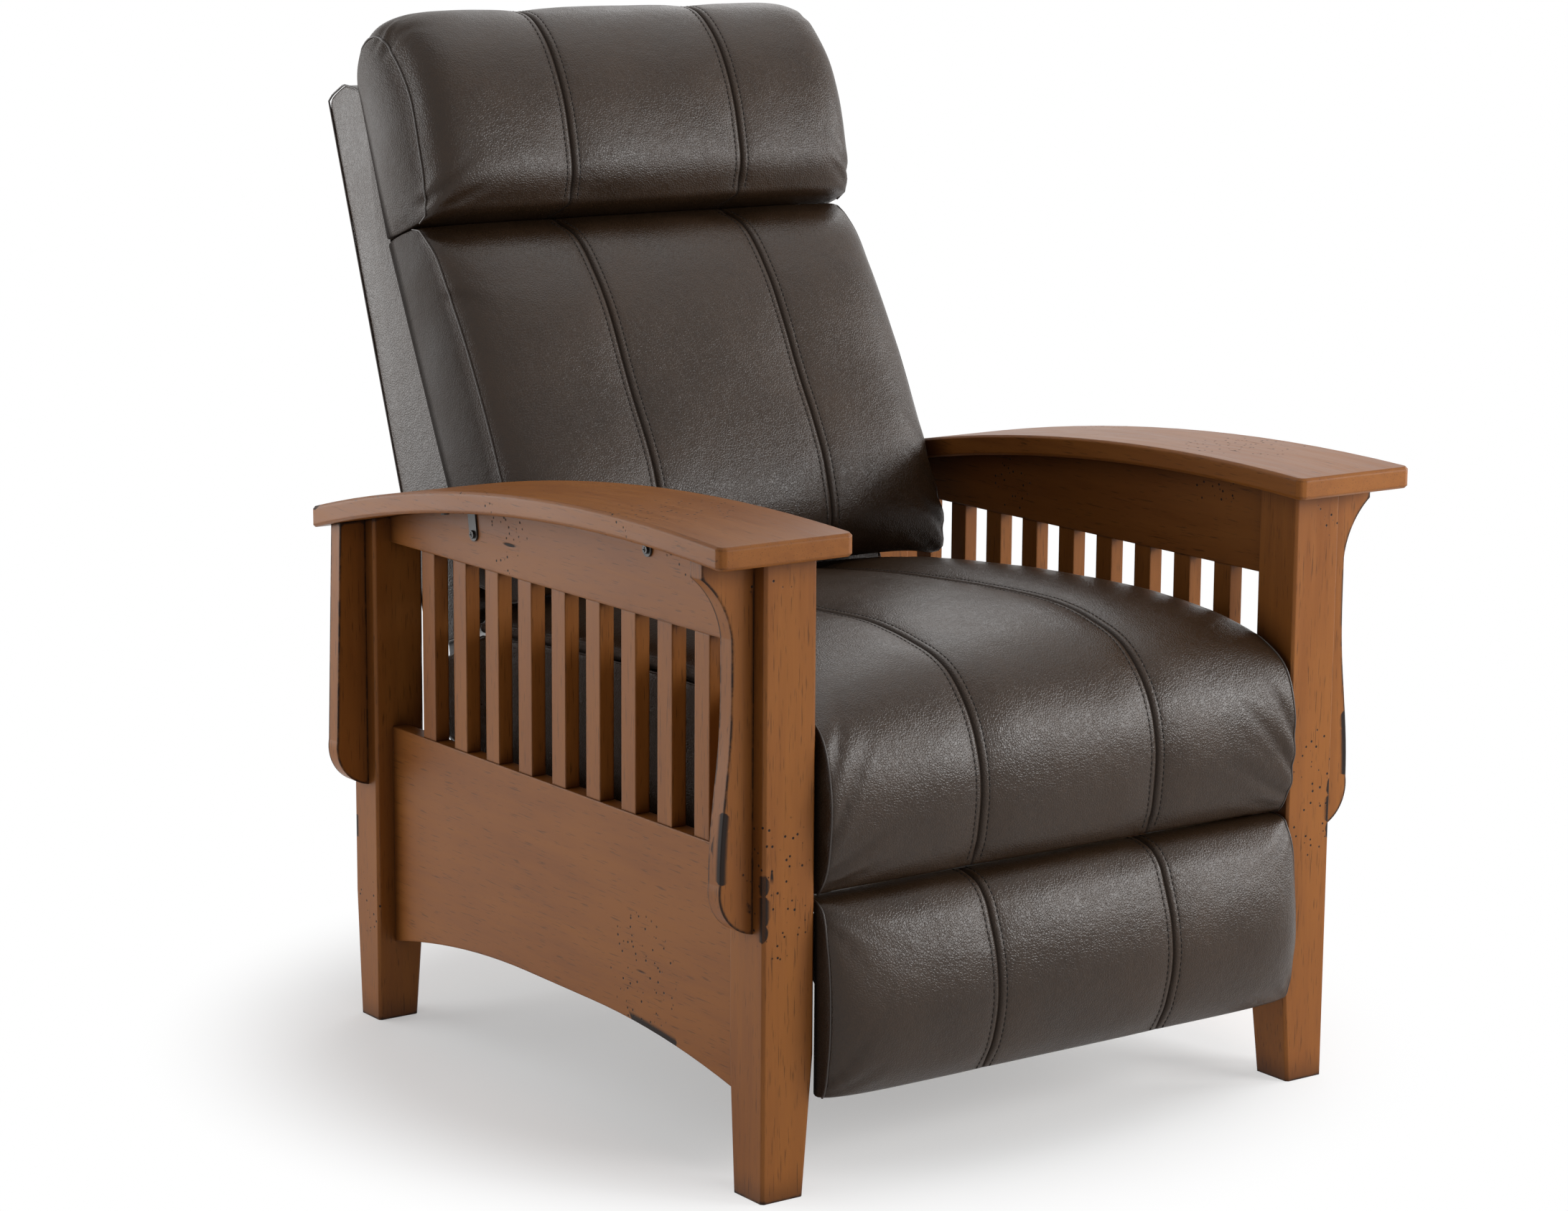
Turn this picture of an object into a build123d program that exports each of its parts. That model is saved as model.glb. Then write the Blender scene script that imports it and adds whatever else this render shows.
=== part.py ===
from build123d import *
from math import atan2, cos, degrees, radians, sin, sqrt
import os

os.makedirs("parts", exist_ok=True)

# Mission reclining armchair, millimetres, front towards -Y, floor at height zero.
# Depths are counted rearwards from the front faces of the front posts.

# Side frames
post_outer = 350.0
post_width = 58.0
front_post_depth = 55.0
rear_post_front = 703.0
rear_post_depth = 47.0
foot_height = 135.0
foot_inner_taper = 11.0
foot_depth_taper = 8.0
post_edge = 2.5

# Arms
arm_radius = 2580.0
arm_thickness = 21.5
arm_apex_depth = 120.0
arm_apex_height = 630.5
arm_front = -28.0
arm_rear = 765.0
arm_front_inset = 79.5
arm_front_overhang = 69.0
arm_rear_inset = 73.0
arm_rear_overhang = 40.0
arm_corner = 5.0
arm_edge = 2.5

# Rails, lower panels and slats of the sides
board_inset = 20.0
board_thickness = 18.0
rail_drop = 115.5
panel_top = 318.0
panel_arch = 115.0
panel_arch_half = 60.0
panel_end = 84.5
slat_count = 9
slat_pitch = 62.2
slat_width = 24.5
slat_thickness = 16.0
tenon_width = 18.0
tenon_thickness = 9.0
tenon_length = 10.0
tenon_gap = 0.15

# Corbels under the arms, outside the posts
corbel_thickness = 19.0
front_corbel_depth = 17.0
rear_corbel_depth = 720.0
corbel_length = 375.5
corbel_belly = 36.5
corbel_knee = 34.0
corbel_shin = 26.0
corbel_waist = 24.0
corbel_lip = 57.0
corbel_sweep = 11.0
rear_corbel_top = 27.0
corbel_round_share = 0.72
corbel_height_shares = (0.1332, 0.2743, 0.4714, 0.7377, 0.8921)

# Steel tabs that hold the arms to the rails
tab_depths = (220.0, 538.0)
tab_width = 14.0
tab_thickness = 2.0
tab_drop = 34.0
tab_reach = 40.0
tab_screw_drop = 27.0
tab_screw_reach = 32.0
tab_screw_head = 4.2
tab_screw_head_height = 2.4
tab_slot_length = 5.0
tab_slot_width = 1.1
tab_slot_depth = 1.2
tab_seat_gap = 0.05

# Base between the sides
cleat_gap = 14.0
cleat_bottom = 135.0
cleat_height = 50.0
steel = 3.0
link_gap = 1.0
base_rail_front = 80.0
base_rail_rear = 680.0
base_rail_top = 180.0
base_flange_width = 24.0
base_bolt_depths = (100.0, 340.0, 660.0)
base_bolt_height = 158.0
bolt_head = 6.5
bolt_head_height = 3.0
stretcher_front = 712.0
stretcher_thickness = 25.0
stretcher_bottom = 150.0
stretcher_height = 64.0
tube_front = 400.0
tube_size = 25.0
tube_bottom = 147.0
tube_wall = 2.0

# Pins and rivets of the steel work
pin_radius = 4.0
pin_head = 6.0
pin_head_height = 2.5
running_gap = 0.08
face_gap = 0.3

# Swing links that carry the seat
swing_length_depth = 37.5
swing_length_height = 65.0
swing_base_height = 165.0
swing_base_depths = (252.5, 522.5)
swing_width = 22.0

# Seat plates
plate_front = 90.0
plate_bottom = 214.0
plate_nose_height = 249.0
plate_waist_depth = 170.0
plate_waist_height = 240.0
plate_belly_depth = 270.0
plate_heel_depth = 580.0
plate_top = 330.0
plate_rear = 706.0
plate_rear_low = 316.0
plate_rear_high = 346.0
plate_step_depth = 640.0
plate_ear_depth = 674.0
plate_round = 7.0
seat_bolt_depths = (120.0, 330.0, 600.0)
seat_bolt_height = 309.0

# Seat frame
seat_rail_thickness = 20.0
seat_rail_bottom = 288.0
seat_rail_height = 82.0
seat_front_rail = 40.0
seat_front_rail_depth = 22.0
seat_side_rail_rear = 640.0
seat_rear_rail = 615.0
spring_wire = 4.0
spring_half_wave = 58.0
spring_swing = 20.0
spring_pitch = 92.0
spring_count = 5
spring_bearing = 15.0

# Footrest linkage
front_pivot_depth = 105.0
front_pivot_height = 264.0
rear_pivot_shift = 44.0
rear_pivot_drop = 8.6
link_lean = 36.0
link_arm = 150.0
link_foot = 50.0
elbow_reach = 159.2
elbow_rise = 108.4
link_width = 18.0
link_corner_share = 0.4142
bracket_flange = 25.0
bracket_foot = 150.0
bracket_knee_depth = 68.0
bracket_knee_height = 200.0

# Cushions
seam_half = 108.0
groove_half = 13.0
cushion_fullness_shares = ((1.0, -0.06), (0.97, 0.3), (0.85, 0.68), (0.66, 0.92))
arc_chords = 7
groove_fullness_share = 0.85
shoulder_fullness_share = 0.97

# Seat cushion and side covers
seat_side_gap = 7.0
seat_heel_gap = 139.0
seat_bottom = 285.0
seat_height = 214.0
cover_thickness = 15.0
cover_front = 20.0
cover_bottom = 300.0
cover_front_top = 443.0
cover_middle_depth = 300.0
cover_middle_top = 446.0
cover_heel_top = 428.0
cover_rear_gap = 21.0
cover_rear_top = 374.0
cover_rear_bottom = 318.0
cover_foot_depth = 650.0

# Reclining back
back_root_depth = 737.0
back_root_height = 387.0
recline = 19.65
shell_side_gap = 26.0
shell_rise = 179.5
shell_peak_rise = 6.0
shell_peak_depth = 40.0
shell_lip_drop = 16.0
shell_lip_depth = 76.0
shell_neck_rise = 13.5
shell_neck_depth = 75.0
shell_hip = 150.0
shell_hip_depth = 106.0
shell_toe = 20.0
shell_toe_depth = 110.0
shell_heel_round = 24.0
pocket_wall = 5.0
pocket_rear = 30.0
pocket_depth = 34.0
pocket_top_drop = 36.0
stile_width = 24.0
stile_bottom = 3.0
stile_top_drop = 5.0
back_rail_height = 60.0
hinge_depth = 690.0
hinge_height = 330.0
arm_plate_top = 200.0
arm_plate_width = 30.0
arm_plate_ear = 14.0
back_bolt_places = (60.0, 160.0)
back_side_gap = 22.0
back_cushion_top = 426.5
back_cushion_depth = 258.0
pillow_gap = 0.5
pillow_length = 229.0
pillow_depth = 221.5

# Footrest
pad_side_gap = 4.0
pad_crown = 47.0
pad_bottom = 88.0
pad_height = 186.0
foot_board_front = 8.0
foot_board_thickness = 12.0
foot_board_inset = 18.0
foot_board_bottom = 96.0
foot_board_top = 266.0

# Outlines as shares of the cushion sizes, each an arc through three points
seat_crown_shares = (
    ((1.0, 0.827), (0.635, 0.953), (0.26, 1.0)),
    ((0.26, 1.0), (0.167, 0.967), (0.062, 0.869)),
    ((0.062, 0.869), (0.005, 0.692), (-0.025, 0.458)),
    ((-0.025, 0.458), (-0.023, 0.21), (0.004, 0.0)),
)
seat_edge_shares = (
    ((1.0, 0.729), (0.64, 0.794), (0.26, 0.832)),
    ((0.26, 0.832), (0.167, 0.834), (0.062, 0.799)),
    ((0.062, 0.799), (0.003, 0.69), (-0.025, 0.458)),
    ((-0.025, 0.458), (-0.023, 0.21), (0.008, 0.0)),
)
back_crown_shares = (
    ((0.131, 0.43), (0.084, 0.628), (0.047, 0.822)),
    ((0.047, 0.822), (0.106, 0.957), (0.242, 1.0)),
    ((0.242, 1.0), (0.528, 0.938), (0.804, 0.853)),
    ((0.804, 0.853), (0.933, 0.748), (1.0, 0.581)),
)
back_edge_shares = (
    ((0.131, 0.43), (0.084, 0.628), (0.047, 0.822)),
    ((0.047, 0.822), (0.117, 0.876), (0.242, 0.86)),
    ((0.242, 0.86), (0.546, 0.802), (0.804, 0.713)),
    ((0.804, 0.713), (0.91, 0.663), (1.0, 0.562)),
)
pillow_crown_shares = (
    ((0.0, 0.858), (0.127, 0.957), (0.297, 0.993)),
    ((0.297, 0.993), (0.541, 1.0), (0.782, 0.944)),
    ((0.782, 0.944), (0.934, 0.831), (1.0, 0.668)),
    ((1.0, 0.668), (0.996, 0.542), (0.904, 0.447)),
)
pillow_edge_shares = (
    ((0.0, 0.745), (0.144, 0.786), (0.297, 0.804)),
    ((0.297, 0.804), (0.546, 0.813), (0.782, 0.727)),
    ((0.782, 0.727), (0.86, 0.677), (0.904, 0.609)),
    ((0.904, 0.609), (0.913, 0.524), (0.886, 0.438)),
)
pad_crown_shares = (
    ((0.25, 1.0), (0.704, 0.828), (1.0, 0.49)),
    ((1.0, 0.49), (0.903, 0.28), (0.47, 0.02)),
)
pad_edge_shares = (
    ((0.22, 0.985), (0.4, 0.83), (0.5, 0.49)),
    ((0.5, 0.49), (0.47, 0.28), (0.33, 0.03)),
)

# Sizes worked out from the ones above
post_inner = post_outer - post_width
arm_front_inner = post_outer - arm_front_inset
arm_front_outer = post_outer + arm_front_overhang
arm_rear_inner = post_outer - arm_rear_inset
arm_rear_outer = post_outer + arm_rear_overhang
board_outer = post_outer - board_inset
cleat_inner = post_inner - cleat_gap
seat_half = post_inner - seat_side_gap
seat_length = back_root_depth - seat_heel_gap
cover_inner = seat_half - cover_thickness
cover_heel_depth = seat_length
cover_rear = back_root_depth - cover_rear_gap
shell_half = post_inner - shell_side_gap
pocket_half = shell_half - pocket_wall
back_half = post_inner - back_side_gap
pad_half = post_inner - pad_side_gap
foot_board_half = pad_half - foot_board_inset
rail_bottom = arm_apex_height - rail_drop
corbel_bottom = arm_apex_height - corbel_length
corbel_heights = [corbel_bottom + share * corbel_length for share in corbel_height_shares]
shell_length = back_cushion_top + shell_rise
shell_peak = shell_length + shell_peak_rise
shell_lip = shell_length - shell_lip_drop
shell_neck = back_cushion_top + shell_neck_rise
pocket_top = shell_length - pocket_top_drop
stile_top = pocket_top - stile_top_drop
pillow_foot = back_cushion_top + pillow_gap
depth_middle = (back_root_depth + shell_length * sin(radians(recline)) - pad_crown) / 2
overrun = post_width
side_front = front_post_depth
side_rear = rear_post_front
side_middle = (side_front + side_rear) / 2
board_inner = board_outer - board_thickness
board_middle = board_outer - board_thickness / 2
arm_centre_height = arm_apex_height - arm_radius
arm_under_radius = arm_radius - arm_thickness
layer = steel + link_gap
flange_x = cleat_inner - steel
swing_x = flange_x - layer
plate_x = swing_x - layer
carry_x = plate_x - layer
elbow_x = carry_x - layer
lower_x = elbow_x - layer
bracket_x = lower_x - layer
lean_depth = sin(radians(link_lean))
lean_height = -cos(radians(link_lean))
swing_base_places = [(depth, swing_base_height) for depth in swing_base_depths]
swing_top_places = [
    (depth + swing_length_depth, height + swing_length_height)
    for depth, height in swing_base_places
]
front_pivot = (front_pivot_depth, front_pivot_height)
rear_pivot = (front_pivot_depth + rear_pivot_shift, front_pivot_height - rear_pivot_drop)
middle_pivot = (
    front_pivot[0] + link_arm * lean_depth,
    front_pivot[1] + link_arm * lean_height,
)
low_pivot = (
    middle_pivot[0] + link_foot * lean_depth,
    middle_pivot[1] + link_foot * lean_height,
)
tail_pivot = (
    rear_pivot[0] + link_arm * lean_depth,
    rear_pivot[1] + link_arm * lean_height,
)
upper_foot_pivot = (middle_pivot[0] - elbow_reach, middle_pivot[1] + elbow_rise)
lower_foot_pivot = (low_pivot[0] - elbow_reach, low_pivot[1] + elbow_rise)
hinge_place = (hinge_depth, hinge_height)
seat_rail_outer = plate_x
seat_rail_inner = seat_rail_outer - seat_rail_thickness
seat_rail_top = seat_rail_bottom + seat_rail_height
cushion_seat_height = seat_rail_top + spring_wire + face_gap
stile_outer = lower_x
foot_board_rear = foot_board_front + foot_board_thickness


# Planes whose own axes are depth and height, width and height, or width and depth
def side_plane(x):
    return Plane(origin=(x, -depth_middle, 0), x_dir=(0, 1, 0), z_dir=(1, 0, 0))


def front_plane(depth):
    return Plane(origin=(0, depth - depth_middle, 0), x_dir=(1, 0, 0), z_dir=(0, -1, 0))


def floor_plane(height):
    return Plane(origin=(0, -depth_middle, height), x_dir=(1, 0, 0), z_dir=(0, 0, 1))


# Plane along the leaning back: first axis up its rear face, second axis forwards
def back_plane(x):
    lean = radians(recline)
    origin = (x, back_root_depth - depth_middle, back_root_height)
    return Plane(origin=origin, x_dir=(0, sin(lean), cos(lean)), z_dir=(1, 0, 0))


# Height of the curved underside of the arm
def arm_underside(depth):
    across = depth - arm_apex_depth
    return arm_centre_height + sqrt(arm_under_radius**2 - across**2)


# Closed region above the underside of the arm, cut from all that stands under it
def region_above_underside():
    ends = (arm_front, arm_rear)
    middle = (arm_front + arm_rear) / 2
    start = (ends[0], arm_underside(ends[0]))
    finish = (ends[1], arm_underside(ends[1]))
    top = arm_apex_height + overrun
    with BuildLine() as outline:
        ThreePointArc(start, (middle, arm_underside(middle)), finish)
        Polyline(finish, (ends[1], top), (ends[0], top), start)
    make_face(outline.edges())


# Round bar from one width to another, at places given in depth and height
def rods(places, radius, start, finish):
    with BuildSketch(side_plane(start)) as section:
        with Locations(*places):
            Circle(radius)
    extrude(section.sketch, amount=finish - start)


# Flat-sided rivet heads and spacers
def heads(places, start, finish):
    with BuildSketch(side_plane(start)) as section:
        with Locations(*places):
            RegularPolygon(pin_head, 8)
    extrude(section.sketch, amount=finish - start)


# Rivets that run out of a plate's face, through a link, to a head on its far side
def pins(places, plate_face, link_face):
    way = 1 if link_face > plate_face else -1
    head_face = link_face + way * face_gap
    rods(places, pin_radius, plate_face, head_face)
    heads(places, head_face, head_face + way * pin_head_height)


# Holes through a plate at the same places
def holes(places, radius, start, thickness):
    with BuildSketch(side_plane(start)) as section:
        with Locations(*places):
            Circle(radius)
    extrude(section.sketch, amount=thickness, mode=Mode.SUBTRACT)


# Flat link with cut-off corners between two places, drawn in the current sketch
def link_outline(first, second, width):
    run = Vector(*second) - Vector(*first)
    side = width / 2
    cut = side * link_corner_share
    corners = [
        (run.length + side, cut),
        (run.length + cut, side),
        (-cut, side),
        (-side, cut),
        (-side, -cut),
        (-cut, -side),
        (run.length + cut, -side),
        (run.length + side, -cut),
    ]
    with Locations(Pos(*first) * Rot(0, 0, degrees(atan2(run.Y, run.X)))):
        Polygon(*corners, align=None)


# Point part of the way from one outline to the other
def between(edge_point, crown_point, fullness):
    return tuple(e + fullness * (c - e) for e, c in zip(edge_point, crown_point))


# Rounded line of a cushion section, from shares of its sizes, as chords of arcs
def soft_arcs(edge_shares, crown_shares, fullness, to_place):
    corners = []
    for edge_arc, crown_arc in zip(edge_shares, crown_shares):
        points = [between(e, c, fullness) for e, c in zip(edge_arc, crown_arc)]
        arc = Edge.make_three_point_arc(*[Vector(*to_place(point)) for point in points])
        chords = [arc.position_at(number / arc_chords) for number in range(arc_chords)]
        corners.extend(chords)
    Polyline(*corners, arc.position_at(1))


# Widths and fullness of the sections from one side of a cushion to the other
def cushion_stations(half):
    right = [(half * place, full) for place, full in cushion_fullness_shares]
    right.append((seam_half + groove_half, shoulder_fullness_share))
    right.append((seam_half, groove_fullness_share))
    right.append((seam_half - groove_half, shoulder_fullness_share))
    right.append((seam_half / 3, 1.0))
    left = [(-x, full) for x, full in right]
    return left + right[::-1]


# Section of a post with eased corners at one height
def post_section(height, inner, front, rear):
    with BuildSketch(floor_plane(height)) as section:
        with Locations(((inner + post_outer) / 2, (front + rear) / 2)):
            Rectangle(post_outer - inner, rear - front)
        chamfer(section.vertices(), length=post_edge)
    return section.sketch


# Front post with tapered foot
with BuildPart() as front_post_right:
    foot_rear = front_post_depth - foot_depth_taper
    foot_section = post_section(0, post_inner + foot_inner_taper, 0, foot_rear)
    full_section = post_section(foot_height, post_inner, 0, front_post_depth)
    loft([foot_section, full_section])
    extrude(full_section, amount=arm_apex_height - foot_height)
    with BuildSketch(side_plane(post_inner)):
        region_above_underside()
    extrude(amount=post_width, mode=Mode.SUBTRACT)

with BuildPart() as front_post_left:
    mirror(front_post_right.part, about=Plane.YZ)

# Rear post with tapered foot
with BuildPart() as rear_post_right:
    rear_post_rear = rear_post_front + rear_post_depth
    foot_rear = rear_post_rear - foot_depth_taper
    foot_section = post_section(0, post_inner + foot_inner_taper, rear_post_front, foot_rear)
    full_section = post_section(foot_height, post_inner, rear_post_front, rear_post_rear)
    loft([foot_section, full_section])
    extrude(full_section, amount=arm_apex_height - foot_height)
    with BuildSketch(side_plane(post_inner)):
        region_above_underside()
    extrude(amount=post_width, mode=Mode.SUBTRACT)

with BuildPart() as rear_post_left:
    mirror(rear_post_right.part, about=Plane.YZ)


# Planes square to the underside of the arm at the steel tabs
def tab_plane(depth):
    across = (depth - arm_apex_depth) / arm_under_radius
    origin = (board_outer, depth - depth_middle, arm_underside(depth) - tab_seat_gap)
    along = (0, sqrt(1 - across**2), -across)
    return Plane(origin=origin, x_dir=(1, 0, 0), z_dir=Vector(*along) * -1)


tab_planes = [tab_plane(depth) for depth in tab_depths]

# Bowed arm, wider in front
with BuildPart() as arm_right:
    with BuildSketch(side_plane(arm_front_inner)):
        middle = (arm_front + arm_rear) / 2
        ends = [(d, arm_underside(d)) for d in (arm_front, middle, arm_rear)]
        tops = [
            (d, arm_centre_height + sqrt(arm_radius**2 - (d - arm_apex_depth) ** 2))
            for d in (arm_front, middle, arm_rear)
        ]
        with BuildLine():
            ThreePointArc(*ends)
            Line(ends[2], tops[2])
            ThreePointArc(*tops[::-1])
            Line(tops[0], ends[0])
        make_face()
    extrude(amount=arm_front_outer - arm_front_inner)
    with BuildSketch(floor_plane(0)):
        with BuildLine():
            Polyline(
                (arm_front_inner, arm_front),
                (arm_front_outer, arm_front),
                (arm_rear_outer, arm_rear),
                (arm_rear_inner, arm_rear),
                close=True,
            )
        make_face()
        chamfer(vertices(), length=arm_corner)
    extrude(amount=arm_apex_height, mode=Mode.INTERSECT)
    chamfer(edges(), length=arm_edge)

with BuildPart() as arm_left:
    mirror(arm_right.part, about=Plane.YZ)

# Upper side rail with curved top and mortises
with BuildPart() as upper_rail_right:
    with BuildSketch(side_plane(board_inner)):
        with BuildLine():
            Polyline(
                (side_front, rail_bottom),
                (side_rear, rail_bottom),
                (side_rear, arm_apex_height),
                (side_front, arm_apex_height),
                close=True,
            )
        make_face()
    extrude(amount=board_thickness)
    with BuildSketch(side_plane(board_inner)):
        region_above_underside()
    extrude(amount=board_thickness, mode=Mode.SUBTRACT)
    with BuildSketch(floor_plane(rail_bottom)):
        with Locations((board_middle, side_middle)):
            with GridLocations(slat_pitch, slat_pitch, 1, slat_count):
                Rectangle(tenon_thickness + 2 * tenon_gap, tenon_width + 2 * tenon_gap)
    extrude(amount=tenon_length + tenon_gap, mode=Mode.SUBTRACT)

with BuildPart() as upper_rail_left:
    mirror(upper_rail_right.part, about=Plane.YZ)

# Lower side panel with arched bottom and mortises
with BuildPart() as lower_panel_right:
    with BuildSketch(side_plane(board_inner)):
        arch_front = (side_middle - panel_arch_half, panel_arch)
        arch_rear = (side_middle + panel_arch_half, panel_arch)
        with BuildLine():
            Polyline(
                (side_front, panel_end),
                (side_front, panel_top),
                (side_rear, panel_top),
                (side_rear, panel_end),
            )
            TangentArc(arch_front, (side_front, panel_end), tangent=(-1, 0))
            Line(arch_front, arch_rear)
            TangentArc(arch_rear, (side_rear, panel_end), tangent=(1, 0))
        make_face()
    extrude(amount=board_thickness)
    with BuildSketch(floor_plane(panel_top)):
        with Locations((board_middle, side_middle)):
            with GridLocations(slat_pitch, slat_pitch, 1, slat_count):
                Rectangle(tenon_thickness + 2 * tenon_gap, tenon_width + 2 * tenon_gap)
    extrude(amount=-tenon_length - tenon_gap, mode=Mode.SUBTRACT)

with BuildPart() as lower_panel_left:
    mirror(lower_panel_right.part, about=Plane.YZ)

# Slats with a tenon at both ends
with BuildPart() as slats_right:
    with BuildSketch(floor_plane(panel_top)):
        with Locations((board_middle, side_middle)):
            with GridLocations(slat_pitch, slat_pitch, 1, slat_count):
                Rectangle(slat_thickness, slat_width)
    extrude(amount=rail_bottom - panel_top)
    with BuildSketch(floor_plane(panel_top - tenon_length)):
        with Locations((board_middle, side_middle)):
            with GridLocations(slat_pitch, slat_pitch, 1, slat_count):
                Rectangle(tenon_thickness, tenon_width)
    extrude(amount=rail_bottom - panel_top + 2 * tenon_length)

with BuildPart() as slats_left:
    mirror(slats_right.part, about=Plane.YZ)

# Front corbel with its cove under the arm
with BuildPart() as front_corbel_right:
    with BuildSketch(front_plane(front_corbel_depth + corbel_thickness)):
        belly = (post_outer + corbel_belly, corbel_heights[0])
        knee = (post_outer + corbel_knee, corbel_heights[1])
        shin = (post_outer + corbel_shin, corbel_heights[2])
        waist = (post_outer + corbel_waist, corbel_heights[3])
        lip = (post_outer + corbel_lip, corbel_heights[4])
        turn = (
            post_outer + corbel_round_share * corbel_belly,
            belly[1] - corbel_round_share * (belly[1] - corbel_bottom),
        )
        cove = (
            (waist[0] + lip[0]) / 2 - corbel_sweep / 2,
            (waist[1] + lip[1]) / 2 + corbel_sweep / 3,
        )
        with BuildLine():
            Line((post_outer, arm_apex_height), (post_outer, corbel_bottom))
            ThreePointArc((post_outer, corbel_bottom), turn, belly)
            Spline(belly, knee, shin, waist, tangents=((0, 1), (0, 1)))
            ThreePointArc(waist, cove, lip)
            Polyline(lip, (lip[0], arm_apex_height), (post_outer, arm_apex_height))
        make_face()
    extrude(amount=corbel_thickness)
    with BuildSketch(side_plane(post_outer)):
        region_above_underside()
    extrude(amount=corbel_lip, mode=Mode.SUBTRACT)

with BuildPart() as front_corbel_left:
    mirror(front_corbel_right.part, about=Plane.YZ)

# Rear corbel, straight up to the arm
with BuildPart() as rear_corbel_right:
    with BuildSketch(front_plane(rear_corbel_depth + corbel_thickness)):
        belly = (post_outer + corbel_belly, corbel_heights[0])
        turn = (
            post_outer + corbel_round_share * corbel_belly,
            belly[1] - corbel_round_share * (belly[1] - corbel_bottom),
        )
        top = (post_outer + rear_corbel_top, arm_apex_height)
        with BuildLine():
            Line((post_outer, arm_apex_height), (post_outer, corbel_bottom))
            ThreePointArc((post_outer, corbel_bottom), turn, belly)
            Line(belly, top)
            Line(top, (post_outer, arm_apex_height))
        make_face()
    extrude(amount=corbel_thickness)
    with BuildSketch(side_plane(post_outer)):
        region_above_underside()
    extrude(amount=corbel_lip, mode=Mode.SUBTRACT)

with BuildPart() as rear_corbel_left:
    mirror(rear_corbel_right.part, about=Plane.YZ)

# Steel tabs, bent strip with one round end, on the rail and under the arm
with BuildPart() as arm_tabs:
    for plane in tab_planes:
        with BuildSketch(plane * Rot(0, 90, 0)):
            with Locations((0, tab_width / 2 - tab_drop)):
                Circle(tab_width / 2)
            with Locations((0, (tab_width / 2 - tab_drop) / 2)):
                Rectangle(tab_width, tab_drop - tab_width / 2)
        extrude(amount=tab_thickness)
        with BuildSketch(plane * Rot(90, 0, 0)):
            with Locations((tab_reach / 2, 0)):
                Rectangle(tab_reach, tab_width)
        extrude(amount=tab_thickness)
    mirror(about=Plane.YZ)

# Base: wooden cleats on the panels
with BuildPart() as cleat_right:
    with BuildSketch(side_plane(cleat_inner)):
        with BuildLine():
            Polyline(
                (side_front, cleat_bottom),
                (side_rear, cleat_bottom),
                (side_rear, cleat_bottom + cleat_height),
                (side_front, cleat_bottom + cleat_height),
                close=True,
            )
        make_face()
    extrude(amount=board_inner - cleat_inner)

with BuildPart() as cleat_left:
    mirror(cleat_right.part, about=Plane.YZ)

# Base rails of angle steel with the pins of the swing links
with BuildPart() as base_rail_right:
    with BuildSketch(front_plane(base_rail_rear)):
        with BuildLine():
            Polyline(
                (flange_x, cleat_bottom - steel),
                (flange_x + base_flange_width, cleat_bottom - steel),
                (flange_x + base_flange_width, cleat_bottom),
                (cleat_inner, cleat_bottom),
                (cleat_inner, base_rail_top),
                (flange_x, base_rail_top),
                close=True,
            )
        make_face()
    extrude(amount=base_rail_rear - base_rail_front)
    pins(swing_base_places, flange_x, swing_x)

with BuildPart() as base_rail_left:
    mirror(base_rail_right.part, about=Plane.YZ)

# Hexagon heads of the bolts that hold the base rails
with BuildPart() as base_bolts:
    with BuildSketch(side_plane(flange_x)):
        with Locations(*[(depth, base_bolt_height) for depth in base_bolt_depths]):
            RegularPolygon(bolt_head, 6)
    extrude(amount=-bolt_head_height)
    mirror(about=Plane.YZ)

# Square cross tube between the base rails
with BuildPart() as cross_tube:
    with BuildSketch(side_plane(-flange_x)):
        with Locations((tube_front + tube_size / 2, tube_bottom + tube_size / 2)):
            Rectangle(tube_size, tube_size)
            Rectangle(tube_size - 2 * tube_wall, tube_size - 2 * tube_wall, mode=Mode.SUBTRACT)
    extrude(amount=2 * flange_x)

# Wooden stretcher between the rear posts
with BuildPart() as rear_stretcher:
    with BuildSketch(side_plane(-post_inner)):
        with BuildLine():
            Polyline(
                (stretcher_front, stretcher_bottom),
                (stretcher_front + stretcher_thickness, stretcher_bottom),
                (stretcher_front + stretcher_thickness, stretcher_bottom + stretcher_height),
                (stretcher_front, stretcher_bottom + stretcher_height),
                close=True,
            )
        make_face()
    extrude(amount=2 * post_inner)

# Swing links, front pair and rear pair
with BuildPart() as swing_link_front_right:
    with BuildSketch(side_plane(swing_x)):
        link_outline(swing_base_places[0], swing_top_places[0], swing_width)
    extrude(amount=steel)
    ends = [swing_base_places[0], swing_top_places[0]]
    holes(ends, pin_radius + running_gap, swing_x, steel)

with BuildPart() as swing_link_front_left:
    mirror(swing_link_front_right.part, about=Plane.YZ)

with BuildPart() as swing_link_rear_right:
    with BuildSketch(side_plane(swing_x)):
        link_outline(swing_base_places[1], swing_top_places[1], swing_width)
    extrude(amount=steel)
    ends = [swing_base_places[1], swing_top_places[1]]
    holes(ends, pin_radius + running_gap, swing_x, steel)

with BuildPart() as swing_link_rear_left:
    mirror(swing_link_rear_right.part, about=Plane.YZ)

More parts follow.
